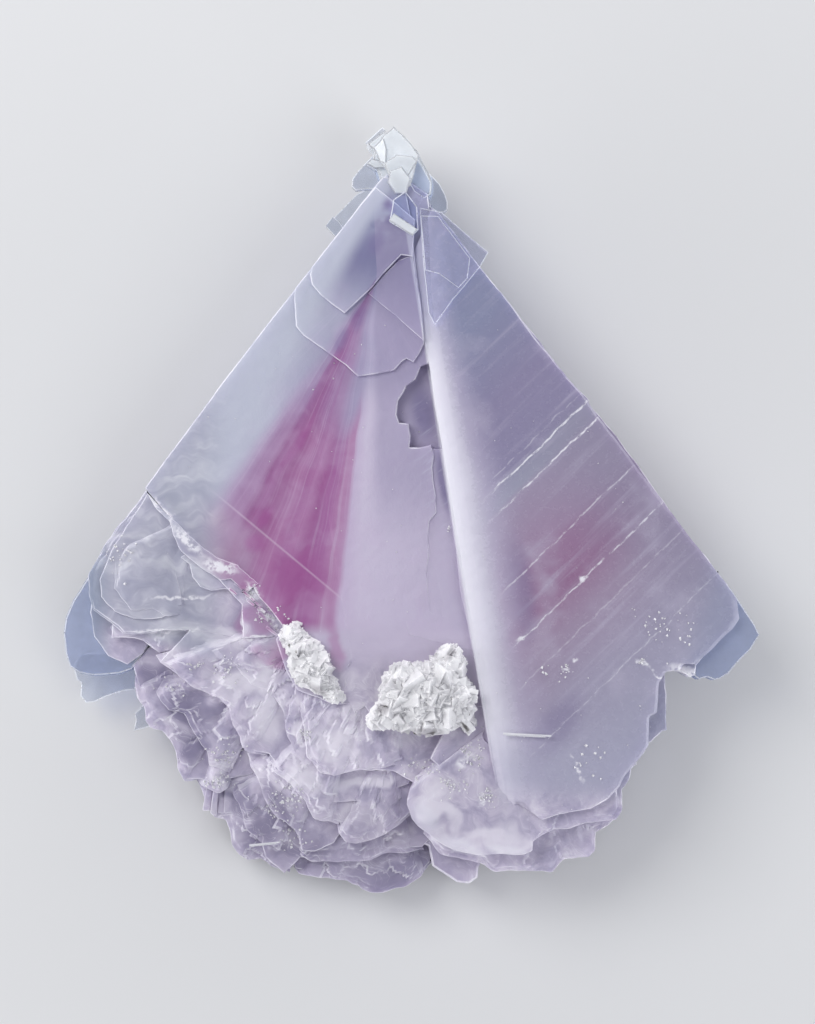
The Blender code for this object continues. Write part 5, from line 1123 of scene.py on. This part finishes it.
clear_piece("wing_rims", misty, [
    tablet([(-34.0, -3.6), (-35.6, -6.0), (-37.0, -7.4), (-38.8, -10.3), (-39.6, -12.3), (-39.9, -14.0),
            (-39.7, -16.4), (-39.2, -17.9), (-38.0, -18.7), (-36.2, -19.0), (-33.4, -18.8), (-31.8, -18.3),
            (-29.5, -15.0), (-29.0, -8.0), (-32.0, -3.0)],
           3.3, 6.4, (0.06, 0.0), (-34.0, -12.0), jag=0.06, bevel=0.15, ledges=((0.5, 0.15),)),
    tablet([(34.6, -6.4), (36.8, -8.9), (38.2, -10.9), (39.3, -12.6), (39.95, -14.0), (38.8, -15.8),
            (37.6, -17.0), (36.3, -18.6), (35.3, -19.2), (34.6, -19.35), (33.8, -19.05), (32.8, -19.3),
            (31.9, -18.6), (31.6, -16.6), (35.0, -12.0)],
           6.0, 12.1, (-0.03, -0.01), (36.0, -14.0), jag=0.06, bevel=0.14, ledges=((0.3, 0.12), (0.7, 0.12))),
])
clear_piece("flake_and_chip", window_clear, [
    tablet([(-38.9, -18.2), (-38.5, -19.5), (-38.05, -19.9), (-38.05, -21.4), (-37.4, -22.2), (-36.3, -22.05),
            (-35.0, -21.4), (-33.3, -20.8), (-31.9, -20.6), (-30.4, -19.0), (-30.6, -16.0), (-38.0, -16.4)],
           2.6, 4.0, jag=0.06, bevel=0.14),
    tablet([(-30.4, -21.6), (-31.1, -22.8), (-31.7, -23.4), (-31.5, -24.1), (-31.8, -25.3), (-30.4, -25.0),
            (-29.2, -24.6), (-28.4, -22.8)], 3.8, 5.0, jag=0.05, bevel=0.14),
])


# Two lumps of a white granular mineral grew on the fan: heaps of small blocky grains, sugary and matt, with
# a few longer bars on the right one, and dark dust in the hollows.
def grain_solid(centre, size):
    """A small block with a narrower top, turned at random: eight corners on two squares."""
    square = np.array([(-1, -1), (1, -1), (1, 1), (-1, 1)], float)
    taper = rng.uniform(0.45, 1.0, 2)
    below, above = np.column_stack([square, -np.ones(4)]), np.column_stack([square * taper, np.ones(4)])
    corners = np.vstack([below, above])
    corners += rng.uniform(-0.12, 0.12, corners.shape)
    corners *= size / 2 * rng.uniform(0.75, 1.25, 3)
    turn = rng.normal(size=4)
    a, b, c, d = turn / np.linalg.norm(turn)
    matrix = np.array([
        [a * a + b * b - c * c - d * d, 2 * (b * c - a * d), 2 * (b * d + a * c)],
        [2 * (b * c + a * d), a * a - b * b + c * c - d * d, 2 * (c * d - a * b)],
        [2 * (b * d - a * c), 2 * (c * d + a * b), a * a - b * b - c * c + d * d],
    ])
    quads = [(0, 3, 2, 1), (4, 5, 6, 7), (0, 1, 5, 4), (1, 2, 6, 5), (2, 3, 7, 6), (3, 0, 4, 7)]
    triangles = [t for q in quads for t in ((q[0], q[1], q[2]), (q[0], q[2], q[3]))]
    return np.asarray(centre, float) + corners @ matrix.T, triangles


def heap(outline, base, crown, count, sizes, box):
    """Grains heaped inside an outline: higher in the middle, small ones strewn over the larger."""
    line = along_path(outline, 0.3)
    low, high = np.min(outline, axis=0), np.max(outline, axis=0)
    spots_in = rng.uniform(low, high, (count * 6, 2))
    ahead = np.roll(line, -1, axis=0)
    above = (line[:, 1] > spots_in[:, 1:2]) != (ahead[:, 1] > spots_in[:, 1:2])
    cross = line[:, 0] + (spots_in[:, 1:2] - line[:, 1]) * (ahead[:, 0] - line[:, 0]) / (
        ahead[:, 1] - line[:, 1] + 1e-9)
    inside = np.sum(above & (spots_in[:, 0:1] < cross), axis=1) % 2 == 1
    spots_in = spots_in[inside][:count]
    deep = np.min(np.hypot(*(spots_in[:, None] - line[None]).transpose(2, 0, 1)), axis=1)
    made = []
    for k, (spot_xy, edge) in enumerate(zip(spots_in, deep)):
        share = k / len(spots_in)
        size = sizes[0] * (1 - share) + sizes[1] * share
        size = min(size * rng.uniform(0.7, 1.3), 0.6 + edge * 1.3)
        top = base + (crown - base) * (1.0 - np.exp(-edge / 0.9))
        height = top - size * rng.uniform(0.35, 0.75)
        points, faces = grain_solid((*spot_xy, height), size)
        points[:, 2] = np.clip(points[:, 2], box[0], box[1])
        made.append((points, faces))
    return made


lump_finish, tree, shader = new_finish("white_sugary_mineral")
place = place_on(tree)
cloud = noise(tree, place, 420.0, 4.0, 0.6)
dust = noise(tree, place, 900.0, 3.0, 0.7)
colour = ramp(tree, cloud, 0.3, 0.7, [
    (0.3, 188, 187, 191), (0.5, 214, 213, 216), (0.7, 236, 235, 237),
])
colour = blend(tree, fade(tree, dust, 0.66, 0.74), colour, linear(96, 90, 84))
lump_mm = split_axes(tree, bent_by(tree, place_in_mm(tree), 1.2, 0.8))
# Painted shade: grey on the undersides and lower edges of the lumps.
painted_lump_shade = spots(tree, lump_mm, (1.6, -25.0, 3.4, 0.8, 2), (-3.0, -22.2, 1.2, 0.9, 0),
             (-10.2, -20.2, 1.4, 0.7, -30), (4.6, -16.0, 1.4, 0.5, 60))
colour = tinted(tree, colour, painted_lump_shade, 0.6, (140, 136, 142))
dirt = spots(tree, lump_mm, (-13.6, -15.2, 0.45, 0.22, -50), (0.5, -25.2, 0.4, 0.3, 0),
             (6.3, -24.3, 1.1, 0.3, -62), (2.4, -25.0, 0.9, 0.25, 0), (-2.6, -22.0, 0.3, 0.2, 0))
colour = tinted(tree, colour, dirt, 0.9, (58, 54, 52))
tree.links.new(colour, shader.inputs["Base Color"])
tree.links.new(mapped(tree, cloud, 0.3, 0.7, 0.3, 0.6), shader.inputs["Roughness"])
bump = add_node(tree, "ShaderNodeBump", Strength=0.5, Distance=0.0001,
                Height=noise(tree, place, 2600.0, 3.0))
tree.links.new(bump.outputs[0], shader.inputs["Normal"])
scatter_inside(shader, 0.5, 0.0006)


def lump(name, node, solids):
    """A lump as one piece, which stands for its node, with the edges of all its grains sharp."""
    made = grown_together(name, solids, 5.0)
    dress(made, lump_finish)
    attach(made, "root")
    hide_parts(node)


left_outline = [
    (-14.5, -14.2), (-13.9, -13.2), (-12.4, -12.7), (-12.2, -13.8), (-10.3, -15.2), (-9.0, -17.0),
    (-8.5, -19.4), (-7.6, -21.1), (-8.8, -21.4), (-9.6, -20.6), (-11.0, -19.8), (-12.4, -19.4),
    (-13.1, -18.0), (-13.4, -16.0),
]
right_outline = [
    (-3.4, -22.0), (-2.6, -18.8), (-1.7, -17.4), (0.5, -17.4), (2.3, -17.3), (3.4, -15.9), (4.5, -15.2),
    (5.3, -15.4), (6.1, -16.9), (6.2, -19.2), (7.3, -20.1), (7.4, -21.2), (6.8, -22.4), (7.3, -24.0),
    (6.9, -25.0), (5.8, -23.9), (4.5, -24.6), (2.0, -25.0), (0.0, -24.7), (-2.0, -24.2), (-4.3, -24.4),
    (-4.5, -23.4),
]


def bar(start, end, thick):
    """A four-sided bar between two points, a little narrower at its end."""
    start, end = np.asarray(start, float), np.asarray(end, float)
    way = (end - start) / np.linalg.norm(end - start)
    side = np.cross(way, (0.1, 0.2, 1.0))
    side /= np.linalg.norm(side)
    over = np.cross(side, way)
    ring = thick / 2 * np.array([side + over, side - over, -side - over, -side + over])
    quads = [(3, 2, 1, 0), (4, 5, 6, 7), (0, 1, 5, 4), (1, 2, 6, 5), (2, 3, 7, 6), (3, 0, 4, 7)]
    return np.vstack([start + ring, end + ring * 0.85]), quads


lump("sugary_lump_left", "white_lump_left",
     heap(left_outline, 12.1, 14.5, 330, (1.7, 0.5), (11.8, 14.75))
     + [tablet(left_outline, 11.8, 12.6, jag=0.08, bevel=0.2)])
lump("sugary_lump_right", "white_lump_right",
     heap(right_outline, 12.6, 16.0, 620, (2.0, 0.5), (12.1, 16.4))
     + [tablet(right_outline, 12.1, 13.4, jag=0.08, bevel=0.3)]
     + [bar(start, end, thick) for start, end, thick in (
         ((5.0, -20.0, 14.4), (7.8, -20.35, 14.5), 0.55), ((4.8, -21.1, 14.3), (7.7, -21.35, 14.3), 0.45),
         ((3.2, -17.6, 14.6), (4.9, -15.3, 14.8), 0.5), ((5.4, -17.4, 14.3), (5.6, -15.3, 14.4), 0.45),
         ((-2.0, -19.0, 14.2), (-1.6, -17.0, 14.4), 0.35), ((5.6, -22.6, 14.2), (7.3, -24.7, 13.8), 0.6),
     )])


# Two silky needles lie on the fan, one across the foot of the right blade and one near the lower left rim.
# Each is a pair of thin flat-sided prisms, grown side by side.
needle_finish, tree, shader = new_finish("silky_needle_crystal")
drawn_out = add_node(tree, "ShaderNodeMapping", Vector=place_on(tree), Scale=(300.0, 9000.0, 9000.0))
silk = noise(tree, drawn_out.outputs[0], 1.0)
tree.links.new(ramp(tree, silk, 0.3, 0.7, [(0.3, 222, 222, 230), (0.7, 250, 250, 252)]),
               shader.inputs["Base Color"])
bump = add_node(tree, "ShaderNodeBump", Strength=0.3, Distance=0.00005, Height=silk)
tree.links.new(bump.outputs[0], shader.inputs["Normal"])
shader.inputs["Roughness"].default_value = 0.2
shader.inputs["IOR"].default_value = 1.52
shader.inputs["Transmission Weight"].default_value = 0.35


def needle(name, node, start, end, thick):
    """A pair of four-sided bars side by side, the second one shorter, thinner and a little lower."""
    start, end = np.asarray(start, float), np.asarray(end, float)
    aside = np.array([0.0, thick * 0.3, thick * 0.12])
    second = bar(start + (end - start) * 0.06 - aside, end - (end - start) * 0.12 - aside, thick * 0.5)
    made = grown_together(name, [bar(start, end, thick * 0.55), second])
    dress(made, needle_finish)
    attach(made, "root")
    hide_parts(node)


needle("needle_on_foot", "needle_right", (10.6, -25.0, 14.55), (16.0, -25.25, 14.75), 0.42)
needle("needle_on_rim", "needle_left", (-18.3, -38.25, 7.95), (-14.8, -37.9, 8.1), 0.36)


# Sugar frost covers the fan in patches: tiny clear grains that grew on its surface, with a few more strewn
# anywhere. Each grain sits at the height of the surface under it.
frost_finish = clear_finish("frost_grains", (0.86, 0.85, 0.9, 1.0), 0.2, 0.92)
frost = []
ABOVE_ALL = 0.03     # metres


def strew(places, sizes, lowest=0.0):
    """Adds a grain at each place, given in mm, where the fan's surface lies above the lowest height."""
    for spot_xy in places:
        hit, point, _, _ = fan.ray_cast((spot_xy[0] * MM, spot_xy[1] * MM, ABOVE_ALL), (0.0, 0.0, -1.0))
        if hit and point[2] / MM > lowest:
            size = rng.uniform(*sizes)
            frost.append(grain_solid((*spot_xy, point[2] / MM), size))


for x_mid, y_mid, wide, tall, count in (
    (-33.0, -5.4, 1.2, 2.0, 34), (-13.5, -32.6, 1.8, 1.6, 60), (-21.5, -28.0, 1.9, 1.2, 50),
    (-20.6, -18.0, 1.8, 1.6, 40), (-12.0, -25.2, 0.9, 0.6, 22), (7.0, -27.2, 1.3, 1.4, 40),
    (5.0, -30.8, 1.6, 1.0, 36), (8.7, -32.2, 0.9, 1.2, 30), (1.5, -29.0, 1.8, 1.2, 34),
    (-15.8, -11.8, 1.6, 1.2, 34), (-17.6, -9.0, 0.7, 0.7, 18), (-13.0, -37.6, 1.6, 1.0, 26),
    (-24.6, -17.6, 0.9, 0.6, 14), (17.4, -17.8, 1.6, 1.0, 16), (20.5, -28.0, 1.8, 2.2, 14),
    (-22.4, -31.0, 1.4, 0.8, 44), (-15.4, -34.4, 1.4, 1.0, 26), (4.6, -1.8, 0.4, 0.4, 4),
    (26.3, -17.0, 0.5, 0.5, 8), (28.0, -12.8, 2.2, 1.4, 22), (31.0, -14.0, 2.0, 3.0, 16),
    (-26.8, -20.0, 1.4, 1.0, 16),
):
    patch = np.column_stack([rng.normal(x_mid, wide / 1.6, count), rng.normal(y_mid, tall / 1.6, count)])
    strew(patch, (0.08, 0.26))
strew(np.column_stack([rng.uniform(-30, 34, 90), rng.uniform(-36, 24, 90)]), (0.06, 0.13), 7.0)
points_before = np.repeat(np.arange(len(frost)) * 8, 12)[:, None]
faces = np.tile(np.array(frost[0][1]), (len(frost), 1)) + points_before
sugar = mesh_object("sugar_frost", np.vstack([solid[0] for solid in frost]), faces.tolist())
dress(sugar, frost_finish)
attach(sugar, "root")


# The floor is a plain pale surface, and the light is a soft studio set: a large key from the upper left, a
# fill, and low strips around the specimen that catch the edges of its plates.
floor = mesh_object("floor", [(-900, -900, 0), (900, -900, 0), (900, 900, 0), (-900, 900, 0)],
                    [(0, 1, 2, 3)])
floor_finish, _, paper = new_finish("pale_floor")
paper.inputs["Base Color"].default_value = (0.66, 0.66, 0.67, 1.0)
paper.inputs["Roughness"].default_value = 0.9
paper.inputs["Specular IOR Level"].default_value = 0.2
dress(floor, floor_finish)


def soft_light(name, place, aim, size, power, colour=(1.0, 1.0, 1.0)):
    """A rectangular area light at a place, turned to aim at a point."""
    lamp = bpy.data.lights.new(name, "AREA")
    lamp.shape = "RECTANGLE"
    lamp.size, lamp.size_y = size
    lamp.energy = power
    lamp.color = colour
    obj = bpy.data.objects.new(name, lamp)
    obj.location = place
    obj.rotation_euler = (Vector(aim) - Vector(place)).to_track_quat("-Z", "Y").to_euler()
    bpy.context.scene.collection.objects.link(obj)


soft_light("key", (-0.28, 0.22, 0.38), (0, 0, 0.01), (0.3, 0.3), 1.45)
soft_light("fill", (0.3, -0.1, 0.35), (0, 0, 0.01), (0.3, 0.3), 0.6, (0.92, 0.95, 1.0))
soft_light("low_left", (-0.35, -0.05, 0.06), (0, 0, 0.01), (0.4, 0.08), 0.65)
soft_light("low_right", (0.35, 0.0, 0.06), (0, 0, 0.01), (0.4, 0.08), 0.55)
soft_light("low_front", (0.0, -0.35, 0.06), (0, 0, 0.01), (0.4, 0.08), 0.45)
soft_light("low_back", (0.0, 0.35, 0.06), (0, 0, 0.01), (0.4, 0.08), 0.65)

world = bpy.data.worlds.new("studio")
bpy.context.scene.world = world
world.use_nodes = True
world.node_tree.nodes["Background"].inputs["Color"].default_value = (0.8, 0.82, 0.86, 1.0)
world.node_tree.nodes["Background"].inputs["Strength"].default_value = 0.42

# The camera looks straight down on the specimen, at the photograph's angle. The 80 mm of its width fill
# 700 of the picture's 815 pixels, and the picture is 1024 pixels tall.
camera = bpy.data.cameras.new("camera")
camera.lens = 110.0
camera.sensor_width = 36.0
camera.clip_start = 0.01
view = bpy.data.objects.new("camera", camera)
FRAME_TALL = 0.08 / 700 * 1024
FACE_LEVEL = 0.009
OFF_CENTRE = (-0.00017, -0.00006)
view.location = (*OFF_CENTRE, FACE_LEVEL + FRAME_TALL * camera.lens / camera.sensor_width)
bpy.context.scene.collection.objects.link(view)
bpy.context.scene.camera = view
bpy.context.scene.view_settings.view_transform = "Standard"
